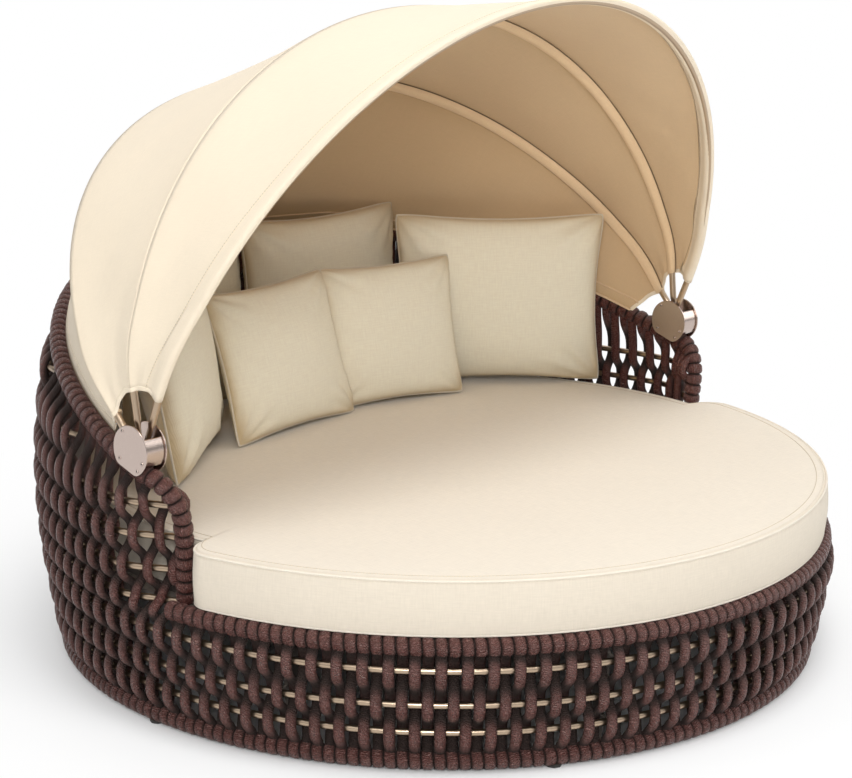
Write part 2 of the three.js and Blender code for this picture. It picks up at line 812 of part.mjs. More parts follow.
// Half width of a bow at a distance from the hub axis: a superellipse that runs in to its eye near the hub
function bowHalfWidth(bow, distance, archHalf) {
  const blend = smoothShare((distance - legStraight) / (legBlendShare * bow.reach - legStraight));
  return eyeMiddle(bow) + (archHalf - eyeMiddle(bow)) * blend;
}

// A bow's arch at a turn from one leg to the other
function archPoint(bow, turn) {
  const power = 2 / bow.roundness;
  const distance = bow.reach * Math.sin(turn) ** power;
  const archHalf = bow.halfWidth * Math.abs(Math.cos(turn)) ** power;
  return bowPoint(bow, Math.sign(Math.cos(turn)) * bowHalfWidth(bow, distance, archHalf), distance);
}

const turnAtDistance = (bow, distance) => Math.asin((distance / bow.reach) ** (bow.roundness / 2));

// The turns that divide an arch evenly, from one leg to the other, above a distance from the hub axis
function archTurn(bow, distance, step) {
  const start = turnAtDistance(bow, distance);
  return start + (halfTurn - 2 * start) * (step / bowArcSteps);
}

function bowLeg(bow) {
  const distances = [neckStart, neckLength, neckLength + neckTaper];
  const leg = distances.map((distance) => bowPoint(bow, eyeMiddle(bow), distance));
  return [...leg, archPoint(bow, turnAtDistance(bow, legEnd))];
}

function addBow(name, bow) {
  const leg = bowLeg(bow);
  const arch = Array.from({ length: bowArcSteps + 1 }, (_, i) => (
    archPoint(bow, archTurn(bow, clothRise, i))
  ));
  const farLeg = leg.map((point) => new THREE.Vector3(-point.x, point.y, point.z)).reverse();
  const path = [...leg, ...arch, ...farLeg];
  const normal = new THREE.Vector3(0, Math.cos(bow.lean), Math.sin(bow.lean));
  const isNeck = (i) => Math.min(i, path.length - 1 - i) < 2;
  const neckHalf = (eyeThickness - seatGap) / 2;
  const halfSizes = (i) => [isNeck(i) ? neckHalf : bowRadius, bowRadius];
  let solid = solidOf(tube(path, halfSizes, bowSides, () => normal));
  [1, -1].forEach((side) => {
    const acrossEye = (radius, length, sides) => {
      const cylinder = new THREE.CylinderGeometry(radius, radius, length, sides);
      cylinder.rotateZ(quarterTurn);
      cylinder.translate(side * eyeMiddle(bow), hubSetback, hubHeight);
      return solidOf(cylinder);
    };
    const disc = acrossEye(eyeRadius, eyeThickness, eyeSides);
    const bore = acrossEye(pinRadius + pinClearance, 2 * eyeThickness, pinSides);
    solid = solid.add(disc).subtract(bore);
  });
  add(`bow_${name}`, geometryOf(solid), bronze);
}

// Cloth between two edge curves: a thin closed sheet, straight from edge to edge but for a slight sag. It
// lies off each edge by a lift of its own, and starts and ends short of them by a gap.
function clothPanel(near, far, [startLift, endLift], [startGap, endGap]) {
  const hub = new THREE.Vector3(0, hubSetback, hubHeight);
  const base = [];
  for (let i = 0; i <= bowArcSteps; i += 1) {
    const row = [];
    for (let j = 0; j <= clothAlong; j += 1) {
      const along = j / clothAlong;
      const rise = clothRise + clothArch * Math.sin(halfTurn * along);
      const from = near(i, rise);
      const to = far(i, rise);
      const length = from.distanceTo(to);
      const share = (startGap + (length - startGap - endGap) * along) / length;
      row.push(new THREE.Vector3().lerpVectors(from, to, share));
    }
    base.push(row);
  }
  const rows = base.map((row, i) => row.map((point, j) => {
    const along = j / clothAlong;
    const across = new THREE.Vector3()
      .subVectors(base[Math.min(i + 1, bowArcSteps)][j], base[Math.max(i - 1, 0)][j]);
    const outwards = new THREE.Vector3().subVectors(row[clothAlong], row[0]).cross(across).normalize();
    if (outwards.dot(new THREE.Vector3().subVectors(point, hub)) < 0) outwards.negate();
    const lift = startLift + (endLift - startLift) * along - clothSag * Math.sin(halfTurn * along);
    const inside = point.clone().addScaledVector(outwards, lift);
    return { inside, outside: inside.clone().addScaledVector(outwards, clothThickness) };
  }));
  const skin = new Skin();
  const ids = rows.map((row) => row.map((faces) => [skin.corner(faces.inside), skin.corner(faces.outside)]));
  for (let i = 0; i < bowArcSteps; i += 1) {
    for (let j = 0; j < clothAlong; j += 1) {
      const cell = [ids[i][j], ids[i + 1][j], ids[i + 1][j + 1], ids[i][j + 1]];
      [0, 1].forEach((side) => skin.face(cell.map((corner) => corner[side])));
    }
  }
  const closeEdge = (a, b) => skin.face([a[0], b[0], b[1], a[1]]);
  for (let i = 0; i < bowArcSteps; i += 1) {
    closeEdge(ids[i][0], ids[i + 1][0]);
    closeEdge(ids[i][clothAlong], ids[i + 1][clothAlong]);
  }
  for (let j = 0; j < clothAlong; j += 1) {
    closeEdge(ids[0][j], ids[0][j + 1]);
    closeEdge(ids[bowArcSteps][j], ids[bowArcSteps][j + 1]);
  }
  return skin.geometry();
}

function bowEdge(bow) {
  return (step, rise) => archPoint(bow, archTurn(bow, rise, step));
}

// The rear hem runs along the top of the back rim, with a corner over each corner of the rim
function rimEdge(step) {
  const corner = rimFirst * pitch + step * facetAngle;
  const angle = Math.min(fullTurn - rearHemStart, Math.max(rearHemStart, corner));
  const rim = backRimFacet(angle);
  return polar(angle, rim.radius, rim.height + wrapFlat + 2 * clothEase);
}

function addCanopy() {
  const [front, middle, rear] = [bows.front, bows.middle, bows.rear].map(bowEdge);
  const lift = bowRadius + clothEase;
  const halfGap = seatGap / 2;
  add('canopy_front', clothPanel(front, middle, [lift, lift], [0, halfGap]), canopyCloth);
  add('canopy_middle', clothPanel(middle, rear, [lift, lift], [halfGap, halfGap]), canopyCloth);
  add('canopy_rear', clothPanel(rear, rimEdge, [lift, 0], [halfGap, 0]), canopyCloth);
}

// Mattress outline: full radius in front, drawn in behind the posts
function mattressOutline(inset, height) {
  const points = [];
  for (let i = 0; i <= mattressSteps; i += 1) {
    const angle = mattressNotchAngle * ((2 * i) / mattressSteps - 1);
    points.push(polar(angle, mattressRadius - inset, height));
  }
  for (let i = 0; i <= mattressSteps; i += 1) {
    const angle = mattressNotchAngle + (fullTurn - 2 * mattressNotchAngle) * (i / mattressSteps);
    points.push(polar(angle, mattressBackRadius - inset, height));
  }
  return points;
}

// The height of the mattress's top at a point: a low cone on a lower one
function mattressTopAt({ x, y }) {
  const fromMiddle = Math.hypot(x, y);
  const isFront = Math.abs(Math.atan2(x, -y)) < mattressNotchAngle;
  const edge = isFront ? mattressRadius : mattressBackRadius;
  const crownEdge = edge - mattressCrownInset;
  if (fromMiddle < crownEdge) {
    const share = fromMiddle / crownEdge;
    return mattressTop + mattressCrown + (mattressCrownHeight - mattressTop - mattressCrown) * share;
  }
  const share = (edge - mattressRound - fromMiddle) / (mattressCrownInset - mattressRound);
  return mattressTop + (mattressCrownHeight - mattressTop) * share;
}

function addMattress() {
  const bottom = deckTop + seatGap;
  const bevel = mattressRound * (1 - Math.SQRT1_2);
  const levels = [
    mattressOutline(mattressRound, bottom),
    mattressOutline(bevel, bottom + bevel),
    mattressOutline(0, bottom + mattressRound),
    mattressOutline(0, mattressTop - mattressRound),
    mattressOutline(bevel, mattressTop - bevel),
    mattressOutline(mattressRound, mattressTop),
    mattressOutline(mattressCrownInset, mattressCrownHeight),
  ];
  const skin = new Skin();
  const ids = levels.map((outline) => outline.map((point) => skin.corner(point)));
  ids.slice(1).forEach((ring, i) => skin.band(ids[i], ring));
  const pole = (ring, height) => {
    const centre = skin.corner(new THREE.Vector3(0, 0, height));
    ring.forEach((corner, i) => skin.face([corner, ring[(i + 1) % ring.length], centre]));
  };
  pole(ids[0], bottom);
  pole(ids.at(-1), mattressTop + mattressCrown);
  add('mattress', skin.geometry(), mattressCloth);
}

// A stuffed cushion: crowned faces that meet in a seam, with sides drawn in between the corners
function cushionGeometry({ width, height, thickness }) {
  const skin = new Skin();
  const spread = (i) => Math.sin(quarterTurn * ((2 * i) / cushionCells - 1));
  const ids = [0, 1].map(() => []);
  for (let i = 0; i <= cushionCells; i += 1) {
    for (let j = 0; j <= cushionCells; j += 1) {
      const [u, v] = [spread(i), spread(j)];
      const x = (width / 2) * u * (1 - cushionPull * (1 - v * v));
      const z = (height / 2) * (1 + v * (1 - cushionPull * (1 - u * u)));
      const swell = (thickness / 2) * Math.max(0, (1 - u * u) * (1 - v * v)) ** cushionFullness;
      const front = skin.corner(new THREE.Vector3(x, -swell, z));
      const onSeam = i === 0 || j === 0 || i === cushionCells || j === cushionCells;
      const back = onSeam ? front : skin.corner(new THREE.Vector3(x, swell, z));
      ids[0].push(front);
      ids[1].push(back);
    }
  }
  const at = (side, i, j) => ids[side][i * (cushionCells + 1) + j];
  for (let i = 0; i < cushionCells; i += 1) {
    for (let j = 0; j < cushionCells; j += 1) {
      [0, 1].forEach((side) => {
        const quad = [at(side, i, j), at(side, i + 1, j), at(side, i + 1, j + 1), at(side, i, j + 1)];
        // divide a corner cell from the cushion's corner, so that both sides stay closed there
        const corner = (i === 0) === (j === 0);
        skin.face(corner ? quad : [quad[1], quad[2], quad[3], quad[0]]);
      });
    }
  }
  return skin.geometry();
}

function addCushions() {
  Object.entries(cushions).forEach(([name, cushion]) => {
    const [shareX, shareY] = cushion.placeShares;
    const mesh = add(name, cushionGeometry(cushion), cushionCloth);
    mesh.rotation.set(-cushion.lean, 0, cushion.turn, 'ZYX');
    mesh.position.set(shareX * mattressRadius, shareY * mattressRadius, 0);
    mesh.updateMatrix();
    // raised until its lowest corner rests on the mattress
    const { position } = mesh.geometry.attributes;
    let rise = 0;
    for (let i = 0; i < position.count; i += 1) {
      const point = new THREE.Vector3().fromBufferAttribute(position, i).applyMatrix4(mesh.matrix);
      rise = Math.max(rise, mattressTopAt(point) - point.z);
    }
    mesh.position.z = rise + seatGap;
  });
}

addWall();
addRods();
addPosts();
addRibs();
addDeck();
addGlides();
addHubs();
Object.entries(bows).forEach(([name, bow]) => addBow(name, bow));
addCanopy();
addMattress();
addCushions();

export default daybed;
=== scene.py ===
"""Outdoor daybed: a round rope-woven wall, mattress, cushions and a canopy on three folding bows."""

import math

import bpy
import numpy as np
from mathutils import Matrix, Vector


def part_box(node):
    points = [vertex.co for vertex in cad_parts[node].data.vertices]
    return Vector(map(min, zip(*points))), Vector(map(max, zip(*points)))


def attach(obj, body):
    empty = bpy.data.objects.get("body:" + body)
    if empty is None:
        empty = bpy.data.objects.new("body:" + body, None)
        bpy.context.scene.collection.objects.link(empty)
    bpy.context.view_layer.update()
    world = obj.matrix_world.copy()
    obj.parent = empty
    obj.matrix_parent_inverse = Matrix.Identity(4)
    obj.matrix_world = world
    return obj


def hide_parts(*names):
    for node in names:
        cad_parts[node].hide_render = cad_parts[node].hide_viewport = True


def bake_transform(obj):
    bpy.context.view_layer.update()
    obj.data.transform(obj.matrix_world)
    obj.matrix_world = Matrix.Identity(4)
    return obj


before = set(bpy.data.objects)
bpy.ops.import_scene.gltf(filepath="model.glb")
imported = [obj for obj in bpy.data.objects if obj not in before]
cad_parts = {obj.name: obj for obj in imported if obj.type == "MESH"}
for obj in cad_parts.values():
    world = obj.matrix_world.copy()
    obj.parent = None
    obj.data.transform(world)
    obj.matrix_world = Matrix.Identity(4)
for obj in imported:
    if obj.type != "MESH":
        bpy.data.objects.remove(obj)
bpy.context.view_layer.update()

bl_info = {
    "name": "Outdoor daybed",
    "version": (1, 0, 0),
    "blender": (4, 5, 0),
    "location": "View3D > Sidebar > Daybed",
    "description": "Builds the woven wall, canopy, mattress and cushions of a round outdoor daybed",
    "category": "Add Mesh",
}

TURN = 2 * math.pi
STRANDS = 216
PITCH = TURN / STRANDS
FRONT_STRANDS = 51
RIM_STRANDS = 57
FACET = 6 * PITCH
FRONT_FACETS = (3, 4, 3, 4, 3)
BACK_FACETS = (3, 3, 2, 3, 2, 3, 3)
# Radius and height of the middle of each ring
BASE = (0.864, 0.0242)
FRONT_RIM = (0.895, 0.280)
SIDE_RIM = (0.890, 0.557)
BACK_RIM = (0.866, 0.815)
BULGE = (0.916, 0.430)
POST_FOOT = (0.852, 0.2866)
POST_ANGLE = math.radians(84.5)
POST_BEND = 0.095
WRAP_RADIUS = 0.021
STRAND_FLATNESS = 0.72
RIM_RISE = (math.radians(90), math.radians(155))
ROD_SHARE = 0.998  # of the wall's radius
# Height of each row of rods, as a share of the front rim's height and of the way from there to the back rim's
ROWS_FRONT = (0.314, 0.539, 0.818)
ROWS_BACK = (0.013, 0.135, 0.27, 0.4, 0.555, 0.7, 0.845)
HUB_Y = 0.011
HUB_Z = 0.608
HUB_MIDDLE = 0.8877
EYE_SPACING = 0.0135
HUB_OUTER = 0.9114
HUB_INNER = 0.864
PLATE_THICKNESS = 0.004
PLATE_RADIUS = 0.054
BODY_RADIUS = 0.050
BODY_BORE = 0.018
BODY_GAP = 0.0004
# Angle in degrees and distance from the pivot of each screw
SCREWS = ((32, 0.046), (122, 0.040), (-150, 0.045), (-118, 0.043))
# Lean in degrees, half width, reach, power and place of the eye of each bow
BOWS = {
    "front": (22.2, 0.884, 0.966, 1.985, -1),
    "middle": (-7.5, 0.909, 0.846, 2.02, 0),
    "rear": (-42.3, 0.925, 0.865, 2.17, 1),
}
HEM_RISE = {"front": 0.125, "middle": 0.125, "rear": 0.088, "rim": 0.088}
HEM_ARCH = 0.011
HEM_LIFT = 0.0095
RIM_HEM = (-0.0165, 0.0158)
BINDING_WIDTH = 0.011
REAR_HEM_START = math.radians(99)
# Radius in front, radius at the back and height of the top
MATTRESS = (0.900, 0.824, 0.421)
# Degrees from the front at which the corner between both radii starts, and how many it spans
CORNER_START = 78.6
CORNER_SPAN = 4.0
# Width, height, thickness, and turn and lean in degrees
CUSHIONS = {
    "cushion_left_side": (0.460, 0.490, 0.160, 38, 12),
    "cushion_back_left": (0.500, 0.470, 0.130, 13, 3),
    "cushion_back_centre": (0.498, 0.460, 0.140, -4, 4),
    "cushion_back_right": (0.536, 0.450, 0.140, -41, 0),
    "cushion_throw_left": (0.430, 0.370, 0.110, 7, 18),
    "cushion_throw_right": (0.390, 0.360, 0.104, -13, 13),
}
# X and Y of the middle of each lower edge
CUSHION_PLACES = {
    "cushion_left_side": (-0.4446, 0.3447),
    "cushion_back_left": (-0.2151, 0.6597),
    "cushion_back_centre": (0.2448, 0.6453),
    "cushion_back_right": (0.612, 0.378),
    "cushion_throw_left": (-0.0999, 0.3753),
    "cushion_throw_right": (0.2646, 0.3978),
}


class DaybedSizes(bpy.types.PropertyGroup):
    """Sizes that change how the daybed is dressed."""

    rope: bpy.props.FloatProperty(
        name="Rope", description="Diameter of a rope strand", default=0.0246, unit="LENGTH"
    )
    rod: bpy.props.FloatProperty(
        name="Rod", description="Diameter of a level rod", default=0.015, unit="LENGTH"
    )
    bow: bpy.props.FloatProperty(
        name="Bow", description="Diameter of a canopy bow", default=0.016, unit="LENGTH"
    )
    cloth: bpy.props.FloatProperty(
        name="Cloth", description="Thickness of the canopy cloth", default=0.0022, unit="LENGTH"
    )
    sleeve: bpy.props.FloatProperty(
        name="Sleeve", description="Width of a sleeve over a bow", default=0.038, unit="LENGTH"
    )
    welt: bpy.props.FloatProperty(
        name="Welt", description="Diameter of the welt along the seams", default=0.0056, unit="LENGTH"
    )


class DaybedColours(bpy.types.PropertyGroup):
    """Colours of the daybed's finishes, as linear values."""

    rope: bpy.props.FloatVectorProperty(
        name="Rope", description="Woven rope", subtype="COLOR", size=3, default=(0.103, 0.037, 0.031)
    )
    bronze: bpy.props.FloatVectorProperty(
        name="Bronze", description="Rods and bows", subtype="COLOR", size=3, default=(0.50, 0.38, 0.27)
    )
    plate: bpy.props.FloatVectorProperty(
        name="Plate", description="Hub plates", subtype="COLOR", size=3, default=(0.56, 0.46, 0.41)
    )
    canopy: bpy.props.FloatVectorProperty(
        name="Canopy", description="Outside of the canopy", subtype="COLOR", size=3,
        default=(0.865, 0.75, 0.585),
    )
    # Inside of the canopy: the cloth's colour made darker and warmer, painted shade and light through the
    # cloth.
    shaded_inside: bpy.props.FloatVectorProperty(
        name="Shaded inside", description="Inside of the canopy", subtype="COLOR", size=3,
        default=(0.69, 0.51, 0.32),
    )
    mattress: bpy.props.FloatVectorProperty(
        name="Mattress", description="Mattress cover", subtype="COLOR", size=3, default=(0.845, 0.77, 0.655)
    )
    cushion: bpy.props.FloatVectorProperty(
        name="Cushion", description="Cushion covers", subtype="COLOR", size=3, default=(0.93, 0.825, 0.66)
    )


# Shapes


def polar(angle, radius, height):
    """Points by their angle round the base from the front towards +X, their radius and their height."""
    angle, radius, height = np.broadcast_arrays(angle, radius, height)
    return np.stack([radius * np.sin(angle), -radius * np.cos(angle), height], -1).astype(float)


def unit(vectors):
    """Each vector divided by its length."""
    return vectors / np.maximum(np.linalg.norm(vectors, axis=-1, keepdims=True), 1e-12)


def smooth(value):
    """Three times the square less twice the cube, of a value held between 0 and 1."""
    share = np.clip(value, 0, 1)
    return share * share * (3 - 2 * share)


def ease(start, end, share):
    """Half a cosine wave from start to end."""
    return start + (end - start) * (1 - np.cos(math.pi * share)) / 2


def crossing(start, end, share):
    """From start to end with a quick change midway: the hyperbolic tangent of a half cosine wave."""
    steep = 1.2
    return (start + end) / 2 + (start - end) / 2 * np.tanh(steep * np.cos(math.pi * share)) / math.tanh(steep)


def wall_radius(height):
    """Radius of the wall: a quarter sine out to the bulge, then a quarter cosine in to the back rim."""
    low = np.clip((height - BASE[1]) / (BULGE[1] - BASE[1]), 0, 1)
    high = np.clip((height - BULGE[1]) / (BACK_RIM[1] - BULGE[1]), 0, 1)
    out = BASE[0] + (BULGE[0] - BASE[0]) * np.sin(low * math.pi / 2)
    back = BULGE[0] - (BULGE[0] - BACK_RIM[0]) * (1 - np.cos(high * math.pi / 2))
    return np.where(np.asarray(height) < BULGE[1], out, back)


def back_rim(angle):
    """Radius and height of the back rim: half a straight rise and half a quarter sine."""
    from_front = np.minimum(angle, TURN - angle)
    share = np.clip((from_front - RIM_RISE[0]) / (RIM_RISE[1] - RIM_RISE[0]), 0, 1)
    share = (share + np.sin(share * math.pi / 2)) / 2
    radius = SIDE_RIM[0] + (BACK_RIM[0] - SIDE_RIM[0]) * share
    return radius, SIDE_RIM[1] + (BACK_RIM[1] - SIDE_RIM[1]) * share


ROW_HEIGHTS = [share * FRONT_RIM[1] for share in ROWS_FRONT]
ROW_HEIGHTS += [FRONT_RIM[1] + share * (BACK_RIM[1] - FRONT_RIM[1]) for share in ROWS_BACK]


def rod_start(row):
    """Angle at which a back rod starts, from the lowest Y of its node."""
    low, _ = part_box(f"rod_back_{row + 1}")
    return math.acos(max(-1.0, min(1.0, -low.y / float(wall_radius(ROW_HEIGHTS[row])))))


ROD_STARTS = [0.0] * len(ROWS_FRONT) + [rod_start(row) for row in range(3, 10)]


def post_path(side, count=90):
    """Line of a post: up from the deck, a quarter ellipse back, then along the rim's line under the hub."""
    share = np.linspace(0, 1, count)
    foot_radius, foot = POST_FOOT
    bend = SIDE_RIM[1] - POST_BEND
    straight = np.clip(share / 0.4, 0, 1)
    turn = np.clip((share - 0.4) / 0.36, 0, 1) * math.pi / 2
    along = np.clip((share - 0.76) / 0.24, 0, 1)
    height = foot + (bend - foot) * straight + POST_BEND * np.sin(turn)
    angle = POST_ANGLE + (RIM_RISE[0] - POST_ANGLE) * (1 - np.cos(turn)) + math.radians(5) * along
    lean = np.clip((height - foot) / (SIDE_RIM[1] - foot), 0, 1) ** 4
    radius = foot_radius + (SIDE_RIM[0] - foot_radius) * lean
    rim_radius, rim_height = back_rim(angle)
    on_rim = along > 0
    height = np.where(on_rim, rim_height, height)
    radius = np.where(on_rim, rim_radius, radius)
    return even(polar(side * angle, radius, height), count)


def steps(points, axis=0):
    """Distances between neighbouring points along an axis of a path or grid."""
    return np.linalg.norm(np.diff(points, axis=axis), axis=-1)


def run(lengths):
    """Way covered up to each point: the running sum of the steps' lengths."""
    return np.concatenate([[0], np.cumsum(lengths)])


def pick(path, way, at):
    """Points of a path at given places, each on the straight line between the two nearest points."""
    return np.stack([np.interp(at, way, path[:, k]) for k in range(3)], -1)


def even(path, count):
    """A path divided anew into steps of equal length."""
    way = run(steps(path))
    return pick(path, way, np.linspace(0, way[-1], count))


def spread(u, v):
    """Flat coordinates of a grid from its two running lengths."""
    return np.stack(np.broadcast_arrays(u, v), -1)


def cells(grid):
    """The four corners of every cell of a grid, in their order round the cell."""
    return np.stack([grid[:-1, :-1], grid[1:, :-1], grid[1:, 1:], grid[:-1, 1:]], 2)


def frames(path, reference, closed=False):
    """Directions at each point of a path: along it, towards the reference, and across both."""
    if closed:
        along = unit(np.roll(path, -1, 0) - np.roll(path, 1, 0))
    else:
        along = unit(np.gradient(path, axis=0))
    lift = np.broadcast_to(reference, path.shape)
    lift = unit(lift - along * np.sum(along * lift, -1, keepdims=True))
    return along, lift, np.cross(along, lift)


class Shell:
    """Gathers closed surfaces of one piece: grids of points with their flat coordinates in metres."""

    def __init__(self):
        self.points = []
        self.faces = []
        self.flats = []
        self.finishes = []
        self.recess = []
        self.count = 0

    def grid(self, points, finish=0, flat=None, recess=0.0, hoop=False):
        """Adds a surface of rows that are each a closed ring. Caps close the first and the last ring, or the
        last ring joins the first in a hoop. The sign of the volume inside shows whether faces look outwards."""
        rows, sides = points.shape[:2]
        index = np.arange(rows * sides).reshape(rows, sides)
        ring = np.hstack([index, index[:, :1]])
        wide = np.concatenate([points, points[:, :1]], 1)
        if hoop:
            ring, wide = np.vstack([ring, ring[:1]]), np.concatenate([wide, wide[:1]])
        if flat is None:
            across = steps(wide, 1)
            across = across.mean(0) if hoop else across.max(0)
            flat = spread(run(across)[None, :], run(steps(wide).mean(1))[:, None])
        quads, flats = cells(ring).reshape(-1, 4), cells(flat).reshape(-1, 4, 2)
        ends = [] if hoop else [(index[0], flat[0, :-1]), (index[-1][::-1], flat[-1, :-1][::-1])]
        co = points.reshape(-1, 3)
        first, second, third, fourth = (co[quads[:, k]] for k in range(4))
        volume = np.sum(np.cross(first, second) * third) + np.sum(np.cross(first, third) * fourth)
        for order, _ in ends:
            fan = co[order]
            volume += np.sum(np.cross(fan[0], fan[1:-1]) * fan[2:])
        if volume < 0:
            quads, flats = quads[:, ::-1], flats[:, ::-1]
            ends = [(order[::-1], uv[::-1]) for order, uv in ends]
        finishes = np.broadcast_to(finish, (len(ring) - 1, sides)).reshape(-1)
        self.points.append(co)
        self.faces += [face + self.count for face in [quads] + [order[None] for order, _ in ends]]
        self.flats += [flats] + [uv[None] for _, uv in ends]
        self.finishes.append(np.concatenate([finishes, np.full(len(ends), finishes[0])]))
        self.recess.append(np.broadcast_to(recess, (rows, sides)).reshape(-1))
        self.count += len(co)

    def tube(self, path, reference, across, lift=None, sides=12, closed=False, finish=0, round_ends=False,
             recess=None):
        """Adds an oval section carried along a path, as wide as `across` and as high as `lift`."""
        lift = across if lift is None else lift
        half_across = np.broadcast_to(across, (len(path),)) / 2
        half_lift = np.broadcast_to(lift, (len(path),)) / 2
        along, up, aside = frames(path, reference, closed)
        if round_ends:
            bow = np.sin(np.linspace(0.15, math.pi / 2, 5))
            back = -np.cos(np.linspace(0.15, math.pi / 2, 5))
            size = half_lift[0]
            path = np.concatenate([
                path[:1] + along[:1] * (back * size)[:, None],
                path[1:-1],
                path[-1:] - along[-1:] * (back * size)[::-1, None],
            ])
            pick = np.concatenate([np.zeros(5, int), np.arange(1, len(up) - 1), np.full(5, len(up) - 1)])
            shrink = np.concatenate([bow, np.ones(len(up) - 2), bow[::-1]])
            up, aside = up[pick], aside[pick]
            half_across, half_lift = half_across[pick] * shrink, half_lift[pick] * shrink
        turn = np.linspace(0, TURN, sides, endpoint=False)
        points = (path[:, None]
                  + (half_lift[:, None] * np.cos(turn))[..., None] * up[:, None]
                  + (half_across[:, None] * np.sin(turn))[..., None] * aside[:, None])
        self.grid(points, finish=finish, recess=recess(points) if recess else 0.0, hoop=closed)

    def piece(self, name, body, slot, materials):
        """Makes the Blender object, with its flat coordinates as UV map, and lets it ride on its body."""
        mesh = bpy.data.meshes.new(name)
        co = np.concatenate(self.points).astype(np.float32)
        loops = np.concatenate([face.reshape(-1) for face in self.faces]).astype(np.int32)
        sizes = np.concatenate([np.full(len(face), face.shape[1]) for face in self.faces]).astype(np.int32)
        mesh.vertices.add(len(co))
        mesh.vertices.foreach_set("co", co.reshape(-1))
        mesh.loops.add(len(loops))
        mesh.loops.foreach_set("vertex_index", loops)
        mesh.polygons.add(len(sizes))
        mesh.polygons.foreach_set("loop_start", (np.cumsum(sizes) - sizes).astype(np.int32))
        mesh.polygons.foreach_set("material_index", np.concatenate(self.finishes).astype(np.int32))
        mesh.polygons.foreach_set("use_smooth", np.ones(len(sizes), bool))
        layer = mesh.uv_layers.new(name="flat")
        flats = np.concatenate([flat.reshape(-1, 2) for flat in self.flats]).astype(np.float32)
        layer.data.foreach_set("uv", flats.reshape(-1))
        recess = mesh.attributes.new("recess", "FLOAT", "POINT")
        recess.data.foreach_set("value", np.concatenate(self.recess).astype(np.float32))
        mesh.update(calc_edges=True)
        mesh.validate()
        for material in materials:
            mesh.materials.append(material)
        made = bpy.data.objects.new(name, mesh)
        bpy.context.scene.collection.objects.link(made)
        if body:
            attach(made, body)
        return made


# Materials


class Wiring:
    """Adds nodes to a node tree in few words."""

    def __init__(self, tree):
        self.tree = tree

    def put(self, socket, value):
        """Links a socket to another one, or sets it to a number, a vector or a colour."""
        if isinstance(value, bpy.types.NodeSocket):
            self.tree.links.new(value, socket)
        else:
            socket.default_value = value

    def add(self, kind, values=None, **settings):
        """A new node with its settings, and its inputs by label or number."""
        node = self.tree.nodes.new(kind)
        for key, value in settings.items():
            setattr(node, key, value)
        for key, value in (values or {}).items():
            self.put(node.inputs[key], value)
        return node

    def math(self, operation, first, second=0.0):
        """One sum, product or other operation on two numbers."""
        return self.add("ShaderNodeMath", {0: first, 1: second}, operation=operation).outputs[0]

    def wave(self, place, factor, length):
        """The sine of a place times a factor and divided by a length."""
        return self.math("SINE", self.math("DIVIDE", self.math("MULTIPLY", place, factor), length))

    def stretch(self, vector, factors):
        """A vector times a factor for each of its parts."""
        return self.add("ShaderNodeVectorMath", {0: vector, 1: factors}, operation="MULTIPLY").outputs[0]

    def split(self, vector):
        """The three parts of a vector."""
        return self.add("ShaderNodeSeparateXYZ", {0: vector}).outputs

    def between(self, value, low, high, start=0.0, end=1.0):
        """A value between start and end, carried over to the range from low to high."""
        values = {"Value": value, "From Min": start, "From Max": end, "To Min": low, "To Max": high}
        return self.add("ShaderNodeMapRange", values).outputs["Result"]

    def mix(self, share, first, second):
        """A share of the second colour in the first."""
        return self.add("ShaderNodeMix", {0: share, 6: first, 7: second}, data_type="RGBA").outputs[2]

    def noise(self, vector, scale, detail=3.0, rough=0.5):
        """Noise at a scale, with finer detail over it."""
        values = {"Vector": vector, "Scale": scale, "Detail": detail, "Roughness": rough}
        return self.add("ShaderNodeTexNoise", values).outputs["Fac"]


def wired(block):
    """The wiring of a material or world whose nodes are cleared."""
    block.use_nodes = True
    block.node_tree.nodes.clear()
    return Wiring(block.node_tree)


def node_group(name, inputs, outputs):
    """A new shader node group: its wiring, inputs and outputs. An input without a default is a vector."""
    tree = bpy.data.node_groups.new(name, "ShaderNodeTree")
    for label, value in inputs.items():
        kind = "NodeSocketVector" if value is None else "NodeSocketFloat"
        socket = tree.interface.new_socket(label, in_out="INPUT", socket_type=kind)
        if value is not None:
            socket.default_value = value
    for label in outputs:
        tree.interface.new_socket(label, in_out="OUTPUT", socket_type="NodeSocketFloat")
    w = Wiring(tree)
    return w, w.add("NodeGroupInput").outputs, w.add("NodeGroupOutput").inputs


def weave_group():
    """Plain weave: two sine waves across each other, each thread with its own tone from stretched noise."""
    w, ins, outs = node_group("plain_weave", {"Flat": None, "Thread": 0.002}, ["Height", "Tone"])
    split = w.split(ins["Flat"])
    waves = [w.wave(split[k], math.pi, ins["Thread"]) for k in range(2)]
    w.put(outs["Height"], w.math("ABSOLUTE", w.math("MULTIPLY", *waves)))
    tones = [w.noise(w.stretch(ins["Flat"], factors), 1.0, 2.0)
             for factors in ((30.0, 330.0, 0.0), (330.0, 30.0, 0.0))]
    w.put(outs["Tone"], w.math("MULTIPLY", w.math("ADD", *tones), 0.5))
    return w.tree


